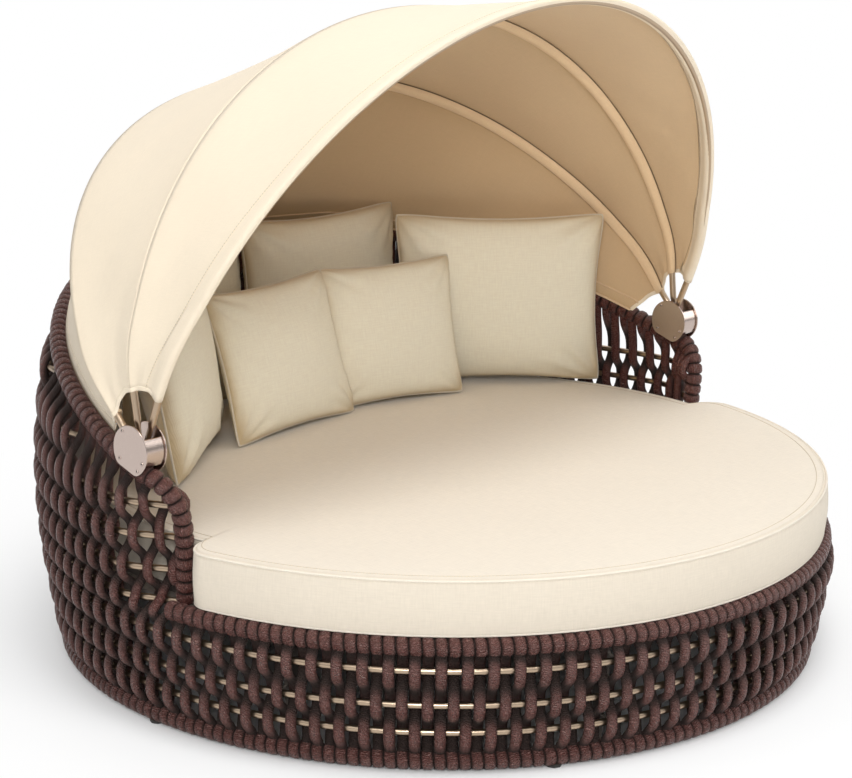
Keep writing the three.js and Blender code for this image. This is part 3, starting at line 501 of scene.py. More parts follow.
def rope_group():
    """Rope cover: fine ridges across the rope, bent by noise, over slow lumps along it."""
    w, ins, outs = node_group("rope_cover", {"Flat": None, "Ridge": 0.0044}, ["Height", "Tone"])
    split = w.split(ins["Flat"])
    bend = w.math("MULTIPLY", w.noise(ins["Flat"], 90.0, 2.0), 0.012)
    slant = w.math("ADD", w.math("MULTIPLY", split[0], 0.22), w.math("ADD", split[1], bend))
    ridge = w.math("ADD", w.wave(slant, TURN, ins["Ridge"]), 1.0)
    lump = w.noise(ins["Flat"], 210.0, 4.0, 0.62)
    # Fine specks lighten the tone: painted highlight that stands for glints, added to the random tone of the
    # lumps.
    painted_glints = w.noise(ins["Flat"], 420.0, 2.0, 0.7)
    w.put(outs["Height"], w.math("ADD", w.math("MULTIPLY", ridge, 0.42), w.math("MULTIPLY", lump, 0.9)))
    w.put(outs["Tone"], w.math("ADD", w.math("MULTIPLY", lump, 0.5), w.math("MULTIPLY", painted_glints, 0.5)))
    return w.tree


def stitch_group():
    """Stitches along a seam: a sine wave along its length, cut to dashes."""
    w, ins, outs = node_group("stitch_row", {"Flat": None, "Step": 0.007}, ["Mask"])
    wave = w.wave(w.split(ins["Flat"])[1], TURN, ins["Step"])
    w.put(outs["Mask"], w.between(wave, 0.0, 1.0, -0.7, -0.3))
    return w.tree


def mottle_group():
    """Slow change of tone over a piece, between two levels."""
    w, ins, outs = node_group("mottle", {"Place": None, "Scale": 6.0, "Low": 0.0, "High": 1.0}, ["Value"])
    slow = w.noise(ins["Place"], ins["Scale"], 4.0)
    w.put(outs["Value"], w.between(slow, ins["Low"], ins["High"], 0.3, 0.7))
    return w.tree


def dust_group():
    """Dust on faces that look up, broken up by noise."""
    w, ins, outs = node_group("dust", {"Place": None, "Amount": 0.2}, ["Mask"])
    upward = w.split(w.add("ShaderNodeNewGeometry").outputs["Normal"])[2]
    spots = w.noise(ins["Place"], 35.0, 4.0, 0.6)
    lying = w.math("MULTIPLY", w.math("MAXIMUM", upward, 0.0), spots)
    w.put(outs["Mask"], w.math("MULTIPLY", lying, ins["Amount"]))
    return w.tree


def brushed_group():
    """Fine lines along a metal bar or plate, from noise stretched along it, with rubbed spots."""
    w, ins, outs = node_group("brushed_metal", {"Flat": None, "Place": None}, ["Lines", "Rubbed"])
    w.put(outs["Lines"], w.noise(w.stretch(ins["Flat"], (2600.0, 30.0, 1.0)), 1.0, 2.0))
    w.put(outs["Rubbed"], w.between(w.noise(ins["Place"], 90.0, 5.0, 0.65), 0.0, 1.0, 0.55, 0.75))
    return w.tree


class Finish(Wiring):
    """The wiring of a new material, with its flat and object coordinates and the shared groups."""

    def __init__(self, groups, name):
        self.material = bpy.data.materials.new(name)
        super().__init__(wired(self.material).tree)
        self.groups = groups
        self.flat = self.add("ShaderNodeUVMap", uv_map="flat").outputs["UV"]
        self.place = self.add("ShaderNodeTexCoord").outputs["Object"]

    def use(self, group, **values):
        """The outputs of a shared group, with its inputs by label."""
        return self.add("ShaderNodeGroup", values, node_tree=self.groups[group]).outputs

    def recess(self):
        """How deep a point lies in the shade of its piece, from 0 to 1."""
        return self.add("ShaderNodeAttribute", attribute_name="recess").outputs["Fac"]

    def mottled(self, shade, scale, share, other):
        """A shade that gives way to another, up to a share, where the mottle is high."""
        slow = self.use("mottle", Place=self.place, Scale=scale)["Value"]
        return self.mix(self.between(slow, 0.0, share), shade, other)

    def dusted(self, shade, amount, dust=(0.5, 0.45, 0.38, 1.0)):
        """A shade under an amount of dust."""
        return self.mix(self.use("dust", Place=self.place, Amount=amount)["Mask"], shade, dust)

    def principled(self, values, height, distance, strength):
        """Ends the material in a Principled shader, with a bump from a height."""
        bump = self.add("ShaderNodeBump", {"Height": height, "Distance": distance, "Strength": strength})
        shader = self.add("ShaderNodeBsdfPrincipled", {**values, "Normal": bump.outputs[0]})
        self.put(self.add("ShaderNodeOutputMaterial").inputs["Surface"], shader.outputs[0])
        return self.material


def linear(colour, level=1.0):
    """A colour with its alpha, made lighter or darker by a factor."""
    return tuple(min(1.0, part * level) for part in colour) + (1.0,)


def rope_material(groups, colour):
    """Rope: tone, gloss and relief from its cover (painted glints in its tone), mottled, painted shade between
    the loops and in the wraps' grooves, a little dust.
    """
    w = Finish(groups, "rope")
    cover = w.use("rope", Flat=w.flat)
    recess = w.recess()
    shade = w.mix(cover["Tone"], linear(colour, 0.2), linear(colour, 2.1))
    shade = w.mottled(shade, 9.0, 0.35, linear(colour, 0.8))
    # Painted shade: near black where the recess attribute is high, between the loops and in the grooves.
    shade = w.mix(w.between(recess, 0.0, 0.93), shade, linear(colour, 0.03))
    return w.principled({
        "Base Color": w.dusted(shade, 0.03, (0.42, 0.33, 0.29, 1.0)),
        "Roughness": w.math("ADD", w.between(cover["Tone"], 0.10, 0.46), w.math("MULTIPLY", recess, 0.5)),
        "Specular IOR Level": 0.62, "Specular Tint": (1.0, 0.84, 0.77, 1.0),
    }, cover["Height"], 0.0032, 1.0)


def metal_material(groups, name, colour, rough, lines=0.1):
    """Brushed metal: tone, gloss and relief from its lines, lighter where it is rubbed, with dust."""
    w = Finish(groups, name)
    brushed = w.use("brushed", Flat=w.flat, Place=w.place)
    tone = w.mix(brushed["Lines"], linear(colour, 0.88), linear(colour, 1.1))
    shade = w.mix(w.math("MULTIPLY", brushed["Rubbed"], 0.25), tone, linear(colour, 1.25))
    return w.principled({
        "Base Color": w.dusted(shade, 0.1, (0.55, 0.5, 0.44, 1.0)), "Metallic": 1.0,
        "Roughness": w.between(brushed["Lines"], rough - lines / 2, rough + lines / 2),
    }, brushed["Lines"], 0.0001, 0.25)


def cloth_material(groups, name, colour, thread, depth, tone_level, glow=0.0):
    """Woven cloth: thread relief and tone from the weave group, painted shade between the threads, mottled,
    painted shade where the recess attribute is high, a soft sheen.
    A glow stands for the light that comes through a thin cloth."""
    w = Finish(groups, name)
    weave = w.use("weave", Flat=w.flat, Thread=thread)
    shade = w.mix(weave["Tone"], linear(colour, 1 - tone_level * 2), linear(colour, 1 + tone_level * 2))
    # Painted shade: darker where the weave's relief is low, between the threads.
    shade = w.mix(w.between(weave["Height"], 0.22, 0.0), shade, linear(colour, 0.62))
    shade = w.mottled(shade, 5.0, 0.16, linear(colour, 0.86))
    # Painted shade: a darker, warmer copy of the colour, laid on by the recess attribute.
    painted_shade_colour = tuple(part * fade for part, fade in zip(linear(colour), (0.50, 0.40, 0.25, 1.0)))
    shade = w.mix(w.between(w.recess(), 0.0, 0.8), shade, painted_shade_colour)
    shade = w.dusted(shade, 0.06)
    return w.principled({
        "Base Color": shade, "Roughness": w.between(weave["Tone"], 0.79, 0.91), "Sheen Weight": 0.12,
        "Specular IOR Level": 0.25, "Emission Color": shade, "Emission Strength": glow,
    }, weave["Height"], depth, 0.55)


def stitch_material(groups, name, thread, cloth):
    """Thread that dips into the cloth between its stitches, where the cloth is painted darker as shade."""
    w = Finish(groups, name)
    mask = w.use("stitch", Flat=w.flat)["Mask"]
    # Painted shade: between the stitches the cloth shows at 60% of its colour.
    return w.principled({
        "Base Color": w.mix(mask, linear(cloth, 0.6), linear(thread)), "Roughness": w.between(mask, 0.9, 0.6),
    }, mask, 0.0008, 0.8)


def coat_material(groups, name, colour, rough):
    """Powder coat or moulded plastic: a fine grain in the surface, mottling and dust."""
    w = Finish(groups, name)
    grain = w.noise(w.place, 900.0, 2.0)
    slow = w.use("mottle", Place=w.place, Scale=20.0)["Value"]
    return w.principled({
        "Base Color": w.dusted(w.mix(slow, linear(colour, 0.85), linear(colour, 1.15)), 0.4),
        "Roughness": w.between(grain, rough - 0.08, rough + 0.08),
    }, grain, 0.0002, 0.4)


FINISHES = {}


def finishes():
    """All materials by name, made once."""
    if FINISHES:
        return FINISHES
    colours = bpy.context.scene.daybed_colours
    groups = {
        "weave": weave_group(), "rope": rope_group(), "mottle": mottle_group(),
        "dust": dust_group(), "brushed": brushed_group(), "stitch": stitch_group(),
    }
    # Sleeves: the shaded inside's colour made lighter, a lit copy of the same cloth, painted light.
    sleeve = tuple(1.15 * part for part in colours.shaded_inside)
    # The cushions' welt: the cushion colour darkened, painted shade along the seam.
    welt = tuple(0.68 * part for part in colours.cushion)
    FINISHES.update({
        "rope": rope_material(groups, colours.rope),
        "bronze": metal_material(groups, "bronze_rod", colours.bronze, 0.30),
        "plate": metal_material(groups, "hub_plate", colours.plate, 0.24, 0.06),
        # Near black: painted shade inside each screw's shallow socket.
        "socket": coat_material(groups, "screw_socket_shade", (0.03, 0.025, 0.02), 0.6),
        "canopy": cloth_material(groups, "canopy_cloth", colours.canopy, 0.0016, 0.0003, 0.04),
        # The canopy's inside: the shaded copy of the cloth, with a faint painted glow for light through it.
        "shaded_inside": cloth_material(groups, "canopy_shaded_inside", colours.shaded_inside, 0.0016, 0.0003, 0.05, 0.04),
        # Painted light: the sleeves take the lighter copy and a stronger glow.
        "sleeve": cloth_material(groups, "sleeve_lit_inside", sleeve, 0.0016, 0.0003, 0.05, 0.05),
        "mattress": cloth_material(groups, "mattress_cover", colours.mattress, 0.0024, 0.0008, 0.08),
        "cushion": cloth_material(groups, "cushion_linen", colours.cushion, 0.0021, 0.0009, 0.09),
        # Painted shade: the darkened welt of the cushions.
        "welt": cloth_material(groups, "shaded_seam_welt", welt, 0.0016, 0.0004, 0.06),
        # A dark brown cloth for the painted shadow along each sleeve's front edge.
        "seam": cloth_material(groups, "seam_shadow", (0.20, 0.13, 0.07), 0.0008, 0.0002, 0.05),
        "outer_stitch": stitch_material(groups, "outer_stitch", (0.74, 0.62, 0.45), colours.canopy),
        "inner_stitch": stitch_material(groups, "inner_stitch", (0.42, 0.29, 0.16), colours.shaded_inside),
        "bed_stitch": stitch_material(groups, "bed_stitch", (0.62, 0.50, 0.35), colours.mattress),
        "frame": coat_material(groups, "frame_coat", (0.145, 0.122, 0.107), 0.5),
        "glide": coat_material(groups, "glide_plastic", (0.024, 0.022, 0.021), 0.6),
    })
    return FINISHES


# Wall


def rope_turns(shell, path, outward, turns, slant=0.0016):
    """Rope wound round a path, one turn beside the next: each turn is a flattened hump between grooves."""
    share = np.array([0.0, 0.035, 0.11, 0.28, 0.5, 0.72, 0.89, 0.965])
    at = np.append((np.arange(turns)[:, None] + share).reshape(-1), turns) / turns
    dense = np.linspace(0, 1, len(path))
    middle = pick(path, dense, at)
    along, lift, aside = frames(middle, pick(outward, dense, at))
    fraction = np.append(np.tile(share, turns), 1.0)
    number = np.minimum((at * turns).astype(int), turns - 1)
    swell = 1 + 0.014 * np.sin(number * 2.4)
    hump = WRAP_RADIUS * swell - 0.0075 * np.abs(2 * fraction - 1) ** 5
    turn = np.linspace(0, TURN, 16, endpoint=False)
    lean = slant * np.sin(turn + 0.6)
    points = (middle[:, None]
              + (hump[:, None] * np.cos(turn))[..., None] * lift[:, None]
              + (hump[:, None] * np.sin(turn))[..., None] * aside[:, None]
              + lean[None, :, None] * along[:, None])
    around = np.append(turn, TURN) * WRAP_RADIUS
    flat = spread(run(steps(middle))[:, None], around[None, :] + 0.37 * number[:, None])
    # The recess attribute paints shade into the grooves between turns.
    shell.grid(points, flat=flat, recess=smooth((WRAP_RADIUS - hump) / 0.006)[:, None])


POST_LINE = post_path(1, 200)


def post_draw(from_front, height):
    """How far the wall draws in beside a post, so that its rods and strands meet the post."""
    rising = POST_LINE[:, 2] < SIDE_RIM[1] - 0.03
    post = np.interp(height, POST_LINE[rising, 2], np.hypot(POST_LINE[rising, 0], POST_LINE[rising, 1]))
    near = 1 - smooth((from_front - POST_ANGLE) / math.radians(10))
    above = smooth((np.asarray(height) - FRONT_RIM[1] + 0.03) / 0.05)
    below = 1 - smooth((np.asarray(height) - BULGE[1] - 0.07) / 0.05)
    inside = from_front > POST_ANGLE - math.radians(0.1)
    return np.where(inside, near * above * below * (wall_radius(height) - post), 0.0)


def strand_top(index):
    """Radius and height of the rim or post over a strand."""
    angle = (index + 0.5) * PITCH
    if index < FRONT_STRANDS:
        return FRONT_RIM
    from_front = min(angle, TURN - angle)
    if from_front >= RIM_STRANDS * PITCH:
        return back_rim(angle)
    path = post_path(1)
    around = np.arctan2(path[:, 0], -path[:, 1])
    nearest = int(np.argmin(np.abs(around - from_front)))
    radius = float(np.hypot(path[nearest, 0], path[nearest, 1]))
    return radius, float(path[nearest, 2])


def strand_side(index, row):
    """Whether a strand passes outside a rod (1), inside it (-1), or ends before it (0)."""
    angle = (index + 0.5) * PITCH
    from_front = min(angle % TURN, TURN - angle % TURN)
    _, rim_height = strand_top(index)
    if row >= len(ROWS_FRONT) and (index < FRONT_STRANDS or from_front < ROD_STARTS[row]):
        return 0
    if ROW_HEIGHTS[row] > rim_height - 0.034:
        return 0
    return 1 if (index + row) % 2 == 0 else -1


def strand_path(index, rope):
    """A strand's centre line: quick crossings from outside one rod to inside the next, up to the rim."""
    angle = (index + 0.5) * PITCH
    from_front = min(angle % TURN, TURN - angle % TURN)
    rim_radius, rim_height = strand_top(index)
    reach = (bpy.context.scene.daybed_sizes.rod + rope * STRAND_FLATNESS) / 2
    radii, heights = [BASE[0]], [BASE[1]]
    for row, height in enumerate(ROW_HEIGHTS):
        side = strand_side(index, row)
        if side == 0:
            continue
        radii.append(float(wall_radius(height)) * ROD_SHARE + side * reach)
        heights.append(height)
    radii.append(float(rim_radius))
    heights.append(float(rim_height))
    share = np.array([0, 0.13, 0.25, 0.35, 0.45, 0.55, 0.65, 0.75, 0.87])
    radii, heights = np.array(radii), np.array(heights)
    radius = crossing(radii[:-1, None], radii[1:, None], share[None]).reshape(-1)
    height = (heights[:-1, None] + np.diff(heights)[:, None] * share[None]).reshape(-1)
    radius, height = np.append(radius, radii[-1]), np.append(height, heights[-1])
    return polar(angle, radius - post_draw(from_front, height), height)


def wall_recess(points):
    """How near points lie to the middle of the wall's thickness, where loops shade one another."""
    radius = np.hypot(points[..., 0], points[..., 1])
    from_front = np.abs(np.arctan2(points[..., 0], -points[..., 1]))
    wall = wall_radius(points[..., 2]) - post_draw(from_front, points[..., 2])
    return 1 - smooth((np.abs(radius - wall) - 0.006) / 0.018)


def ring_path(first, last, line):
    """The middle line of a wrapped ring from one strand's edge to another's, and its outward direction."""
    angle = np.linspace(first * PITCH, last * PITCH, (last - first) * 4 + 1)
    if callable(line):
        radius, height = line(angle)
    else:
        radius, height = line
    return polar(angle, radius * np.ones_like(angle), height * np.ones_like(angle)), polar(angle, 1.0, 0.0)


def build_wall():
    """Twelve lengths of wall, each with its strands, its bottom wrap and its rim wrap."""
    made = finishes()
    rope = bpy.context.scene.daybed_sizes.rope
    lengths = []
    first = -FRONT_STRANDS
    for part, all_facets, rim in (("front", FRONT_FACETS, FRONT_RIM), ("back", BACK_FACETS, back_rim)):
        for number, facets in enumerate(all_facets):
            lengths.append((f"{part}_{number + 1}", first, first + facets * 6, rim))
            first += facets * 6
    for name, start, end, rim in lengths:
        shell = Shell()
        for index in range(start, end):
            path = strand_path(index, rope)
            side = polar(np.full(len(path), (index + 0.5) * PITCH + math.pi / 2), 1.0, 0.0)
            shell.tube(path, side, rope * STRAND_FLATNESS, lift=rope, sides=10, recess=wall_recess)
        path, outward = ring_path(start, end, BASE)
        rope_turns(shell, path, outward, end - start)
        rim_start = max(start, RIM_STRANDS) if callable(rim) else start
        rim_end = min(end, STRANDS - RIM_STRANDS) if callable(rim) else end
        path, outward = ring_path(rim_start, rim_end, rim)
        rope_turns(shell, path, outward, rim_end - rim_start)
        piece = shell.piece(f"weave_{name}", "root", "rope", [made["rope"]])
        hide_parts(f"wall_{name}")


def rod_end(row):
    """Angle from the front and radius at a back rod's end: in the post, or behind its first strand."""
    height = ROW_HEIGHTS[row]
    if height < SIDE_RIM[1]:
        line = POST_LINE[POST_LINE[:, 2] < SIDE_RIM[1] - 0.005]
        angle, radius = np.arctan2(line[:, 0], -line[:, 1]), np.hypot(line[:, 0], line[:, 1])
        return float(np.interp(height, line[:, 2], angle)), float(np.interp(height, line[:, 2], radius))
    first = next(index for index in range(FRONT_STRANDS, STRANDS // 2) if strand_side(index, row))
    return (first + 0.5) * PITCH, float(wall_radius(height)) - 0.018


def build_rods():
    """Round level rods: three hoops and seven that end beside the posts or under the rim."""
    made = finishes()
    size = bpy.context.scene.daybed_sizes.rod
    for row, height in enumerate(ROW_HEIGHTS):
        shell = Shell()
        radius = float(wall_radius(height)) * ROD_SHARE
        up = np.array([0.0, 0.0, 1.0])
        if row < len(ROWS_FRONT):
            angle = np.linspace(0, TURN, 360, endpoint=False)
            shell.tube(polar(angle, radius, height), up, size, closed=True)
            name = f"rod_ring_{row + 1}"
        else:
            start, end_radius = rod_end(row)
            angle = np.linspace(start, TURN - start, 360)
            from_front = np.minimum(angle, TURN - angle)
            inward = np.maximum(post_draw(from_front, height),
                                (radius - end_radius) * (1 - smooth((from_front - start) / math.radians(4))))
            shell.tube(polar(angle, radius - inward, height), up, size, round_ends=True)
            name = f"rod_back_{row + 1}"
        piece = shell.piece(name.replace("rod_", "round_rod_"), "root", "bronze_metal", [made["bronze"]])
        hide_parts(name)


def build_posts():
    """Posts wound with rope, with a turn every 25.5 mm."""
    made = finishes()
    for name, side in (("left", -1), ("right", 1)):
        shell = Shell()
        path = post_path(side, 240)
        outward = unit(path * np.array([1.0, 1.0, 0.0]))
        rope_turns(shell, path, outward, round(steps(path).sum() / 0.0255), slant=0.003 * side)
        piece = shell.piece(f"wound_post_{name}", "root", "rope", [made["rope"]])
        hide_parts(f"post_{name}")


# Hubs and bows


def rim_reach(turn, rise):
    """How far a ray from the pivot goes before it meets the line along the rim, `rise` above its middle."""
    radius, height = back_rim(RIM_RISE[0] + FACET)
    slope = (height - SIDE_RIM[1]) / (radius * math.sin(FACET))
    drop = HUB_Z - SIDE_RIM[1] - rise
    forward, up = np.sin(turn), np.cos(turn)
    with np.errstate(divide="ignore", invalid="ignore"):
        sloped = (drop - slope * HUB_Y) / (slope * forward - up)
        level = -drop / up
    reach = np.where(HUB_Y + sloped * forward >= 0, sloped, level)
    return np.where(reach > 0, reach, np.inf)


def slab(shell, outline, near, far, side, bevel=0.0009):
    """A plate across the hub from one X to another, with rounded edges; the outline is in Y and Z."""
    middle = outline.mean(0)
    share = bevel / np.linalg.norm(outline - middle, axis=1).min()
    inset, half = (middle + (outline - middle) * (1 - part * share) for part in (1, 0.3))
    step = math.copysign(bevel, far - near)
    levels = [(inset, near), (half, near + 0.3 * step), (outline, near + step),
              (outline, far - step), (half, far - 0.3 * step), (inset, far)]
    rows = [np.column_stack([np.full(len(line), side * x), line]) for line, x in levels]
    shell.grid(np.stack(rows))


def plate_outline(count=120):
    """A disc round the pivot, cut along the rim, with its corners rounded by an average over near turns."""
    turn = np.linspace(0, TURN, count, endpoint=False)
    reach = np.minimum(PLATE_RADIUS, rim_reach(turn, 0.0))
    reach = np.mean([np.roll(reach, shift) for shift in range(-2, 3)], axis=0)
    reach = np.minimum(reach, PLATE_RADIUS)
    return np.column_stack([HUB_Y + reach * np.sin(turn), HUB_Z + reach * np.cos(turn)])


def body_outline(count=60):
    """The hub's body: a wall round the eyes, open upwards for the bows and cut along the top of the rim."""
    turn = np.linspace(TURN - math.radians(52), math.radians(100), count)
    reach = np.minimum(BODY_RADIUS, rim_reach(turn, WRAP_RADIUS + BODY_GAP))
    outside = np.column_stack([reach * np.sin(turn), reach * np.cos(turn)])
    inside = BODY_BORE * np.column_stack([np.sin(turn), np.cos(turn)])
    return outside, inside


def body_rings(side, bevel=0.001):
    """A section at each point of the hub's body: across its outside and back along its bore, with bevels."""
    outside, inside = body_outline()
    near, far = HUB_INNER + BODY_GAP, HUB_OUTER - BODY_GAP
    x = side * np.array([near, near + bevel, near + 2 * bevel, far - 2 * bevel, far - bevel, far,
                         far, far - bevel, near + bevel, near])
    shift = bevel * np.array([-1, 0, 0, 0, 0, -1, 1, 0, 0, 1])
    line = np.concatenate([np.repeat(outside[:, None], 6, 1), np.repeat(inside[:, None], 4, 1)], 1)
    y, z = np.moveaxis(line + unit(outside)[:, None] * shift[:, None], -1, 0)
    return np.stack(np.broadcast_arrays(x, HUB_Y + y, HUB_Z + z), -1)


def build_hubs():
    """Hub plates and bodies with softened edges, and four screws on each plate."""
    made = finishes()
    for name, side in (("right", 1), ("left", -1)):
        for plate, near, far in (("outer_plate", HUB_OUTER, HUB_OUTER + PLATE_THICKNESS),
                                 ("inner_plate", HUB_INNER - PLATE_THICKNESS, HUB_INNER)):
            shell = Shell()
            slab(shell, plate_outline(), near, far, side)
            piece = shell.piece(f"smooth_{name}_{plate}", "root", "bronze_metal", [made["plate"]])
            piece.data.polygons.foreach_set("use_smooth", np.zeros(len(piece.data.polygons), bool))
            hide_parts(f"hub_{name}_{plate}")
        shell = Shell()
        shell.grid(body_rings(side))
        piece = shell.piece(f"smooth_{name}_body", "root", "bronze_metal", [made["plate"]])
        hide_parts(f"hub_{name}_body")
        build_screws(f"screws_{name}_outside", side, HUB_OUTER + PLATE_THICKNESS, 1, made)
        build_screws(f"screws_{name}_inside", side, HUB_INNER - PLATE_THICKNESS, -1, made)


def build_screws(name, side, face, outward, made):
    """Small domed screws near a plate's edge: a profile turned round each axis, with a shallow socket painted
    near black as shade.
    """
    shell = Shell()
    profile = np.array([[0.0040, -0.0004], [0.0040, 0.0006], [0.0034, 0.0014], [0.0021, 0.0018],
                        [0.0018, 0.0017], [0.0016, 0.0007], [0.0001, 0.0006]])
    turn = np.linspace(0, TURN, 20, endpoint=False)
    for angle, reach in SCREWS:
        middle = np.array([HUB_Y + reach * math.sin(math.radians(angle)),
                           HUB_Z + reach * math.cos(math.radians(angle))])
        radius, height = profile[:, 0], profile[:, 1]
        x = side * (face + outward * height)[:, None] * np.ones(len(turn))
        y = middle[0] + radius[:, None] * np.cos(turn)
        z = middle[1] + radius[:, None] * np.sin(turn)
        rings = np.stack([x, y, z], -1)
        finish = np.zeros((len(profile) - 1, len(turn)), int)
        # The socket's rings take the near-black painted shade.
        finish[4:] = 1
        shell.grid(rings, finish=finish)
    shell.piece(name, "root", "bronze_metal", [made["plate"], made["socket"]])


def bow_point(bow, x, distance):
    """A point of a bow by its X and its distance from the hub axis, in the bow's own leaning plane."""
    lean = math.radians(bow[0])
    return np.stack([x, HUB_Y - distance * math.sin(lean), HUB_Z + distance * math.cos(lean)], -1)


def eye_middle(bow):
    """X of the middle of a bow's eye, beside the others on the pin."""
    return HUB_MIDDLE + bow[4] * EYE_SPACING


def arch_point(bow, turn):
    """A superellipse arch whose legs run in to the eyes near the hub."""
    _, half_width, reach, roundness, _ = bow
    power = 2 / roundness
    distance = reach * np.sin(turn) ** power
    half = half_width * np.abs(np.cos(turn)) ** power
    blend = smooth((distance - 0.062) / (0.35 * reach - 0.062))
    width = eye_middle(bow) + (half - eye_middle(bow)) * blend
    return bow_point(bow, np.sign(np.cos(turn)) * width, distance)


def turn_at(bow, distance):
    """Turn at which an arch is at a distance from the hub axis."""
    return np.arcsin((distance / bow[2]) ** (bow[3] / 2))


def arch_along(bow, rise, share):
    """Points of an arch above a distance from the hub axis, by their share of the turn between its legs."""
    start = turn_at(bow, rise)
    return arch_point(bow, start + (math.pi - 2 * start) * share)


def build_bows():
    """Round bows with flattened necks and bored eyes."""
    made = finishes()
    size = bpy.context.scene.daybed_sizes.bow
    for name, bow in BOWS.items():
        shell = Shell()
        near = np.array([0.011, 0.030, 0.046, 0.052, 0.058, 0.070])
        leg = bow_point(bow, np.full(len(near), eye_middle(bow)), near)
        arch = arch_along(bow, 0.085, ease(0, 1, np.linspace(0, 1, 150)) * 0.5
                          + 0.5 * np.linspace(0, 1, 150))
        path = np.concatenate([leg, arch, (leg * np.array([-1, 1, 1]))[::-1]])
        across = np.full(len(path), size)
        across[:3] = across[-3:] = 0.0076
        across[3] = across[-4] = 0.0105
        lean = math.radians(bow[0])
        normal = np.array([0.0, math.cos(lean), math.sin(lean)])
        shell.tube(path, normal, across, size, sides=16)
        for side in (1, -1):
            turn = np.linspace(0, TURN, 40, endpoint=False)[:, None]
            section = [(0.0063, -0.0036), (0.0067, -0.0040), (0.0144, -0.0040), (0.0150, -0.0034),
                       (0.0150, 0.0034), (0.0144, 0.0040), (0.0067, 0.0040), (0.0063, 0.0036)]
            radius, x = np.array(section).T
            rings = np.broadcast_arrays(side * eye_middle(bow) + x, HUB_Y + radius * np.sin(turn),
                                        HUB_Z + radius * np.cos(turn))
            shell.grid(np.stack(rings, -1), hoop=True)
        piece = shell.piece(f"round_bow_{name}", f"{name}_bow", "bronze_metal", [made["bronze"]])
        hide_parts(f"bow_{name}")


# Canopy


def bow_normal(bow, points):
    """Direction away from the arch in its own plane, at each of its points."""
    lean = math.radians(bow[0])
    plane = np.array([0.0, math.cos(lean), math.sin(lean)])
    along = unit(np.gradient(points, axis=0))
    away = unit(np.cross(along, plane))
    outward = points - np.array([0.0, HUB_Y, HUB_Z])
    return away * np.sign(np.sum(away * outward, -1, keepdims=True))


COLUMNS = 200


def cloth_edge(kind, rise):
    """Edge line of the canopy: over a bow by its radius and a little ease, or along the back rim's top."""
    share = np.linspace(0, 1, COLUMNS + 1)
    if kind == "rim":
        angle = np.clip(math.radians(95) + math.radians(170) * share, REAR_HEM_START, TURN - REAR_HEM_START)
        radius, height = back_rim(angle)
        return polar(angle, radius + RIM_HEM[0], height + RIM_HEM[1])
    points = arch_along(BOWS[kind], rise, share)
    return points + bow_normal(BOWS[kind], points) * HEM_LIFT


def panel_rows(near, far, count=26):
    """Rows of a panel from edge to edge: straight across but for a sag, with soft pulls at the corners."""
    rows = []
    for step in np.linspace(0, 1, count):
        rise = ease(HEM_RISE[near], HEM_RISE[far], step) + HEM_ARCH * math.sin(math.pi * step)
        start, end = cloth_edge(near, rise), cloth_edge(far, rise)
        rows.append(start + (end - start) * step)
    rows = np.stack(rows)
    across = np.gradient(rows, axis=1)
    along = np.gradient(rows, axis=0)
    normal = unit(np.cross(across, along))
    outward = rows - np.array([0.0, HUB_Y, HUB_Z])
    normal = normal * np.sign(np.sum(normal * outward, -1, keepdims=True))
    step = np.linspace(0, 1, count)[:, None]
    share = np.linspace(0, 1, COLUMNS + 1)[None, :]
    hang = np.sin(math.pi * step)
    from_corner = np.minimum(share, 1 - share)
    folds = 0.0016 * np.exp(-from_corner / 0.06) * np.sin(step * 13 + from_corner * 22)
    drift = 0.0016 * np.sin(share * 37 + step * 4) + 0.0012 * np.sin(share * 61 - step * 7)
    lift = -0.008 * hang + hang * (folds + drift)
    return rows + normal * lift[..., None], normal


def add_cloth(shell, rows, normal, thickness, depth):
    """A closed sheet: each column of a panel becomes a flat ring of its outer and inner points. The recess
    attribute paints shade near the panel's edges on both sides, and depth is how much painted shade lies over
    the inner side."""
    outer = rows + normal * thickness / 2
    inner = rows - normal * thickness / 2
    rings = np.concatenate([outer, inner[::-1]], 0).transpose(1, 0, 2)
    count = len(rows)
    finish = np.zeros((rings.shape[0] - 1, rings.shape[1]), int)
    finish[:, count:-1] = 1
    v = run(steps(rows).mean(1))
    v = np.concatenate([v, v[::-1], v[:1]])
    flat = spread(run(steps(rows, 1).mean(0))[:, None], v[None, :])
    step = np.linspace(0, 1, count)
    near_edge = np.exp(-np.minimum(step, 1 - step) / 0.06)
    recess = np.concatenate([0.1 * near_edge, depth + (0.75 - depth) * near_edge[::-1]])
    shell.grid(rings, finish=finish, flat=flat, recess=recess[None, :])


def on_panel(rows, normal, distance, lift):
    """A line on a panel, at a distance from its first edge and lifted off the cloth."""
    place = np.clip(distance / steps(rows).sum(0), 0, 0.45) * (len(rows) - 1)
    low = place.astype(int)
    share = (place - low)[:, None]
    column = np.arange(rows.shape[1])
    point = rows[low, column] * (1 - share) + rows[low + 1, column] * share
    return point + normal[low, column] * lift, normal[low, column]


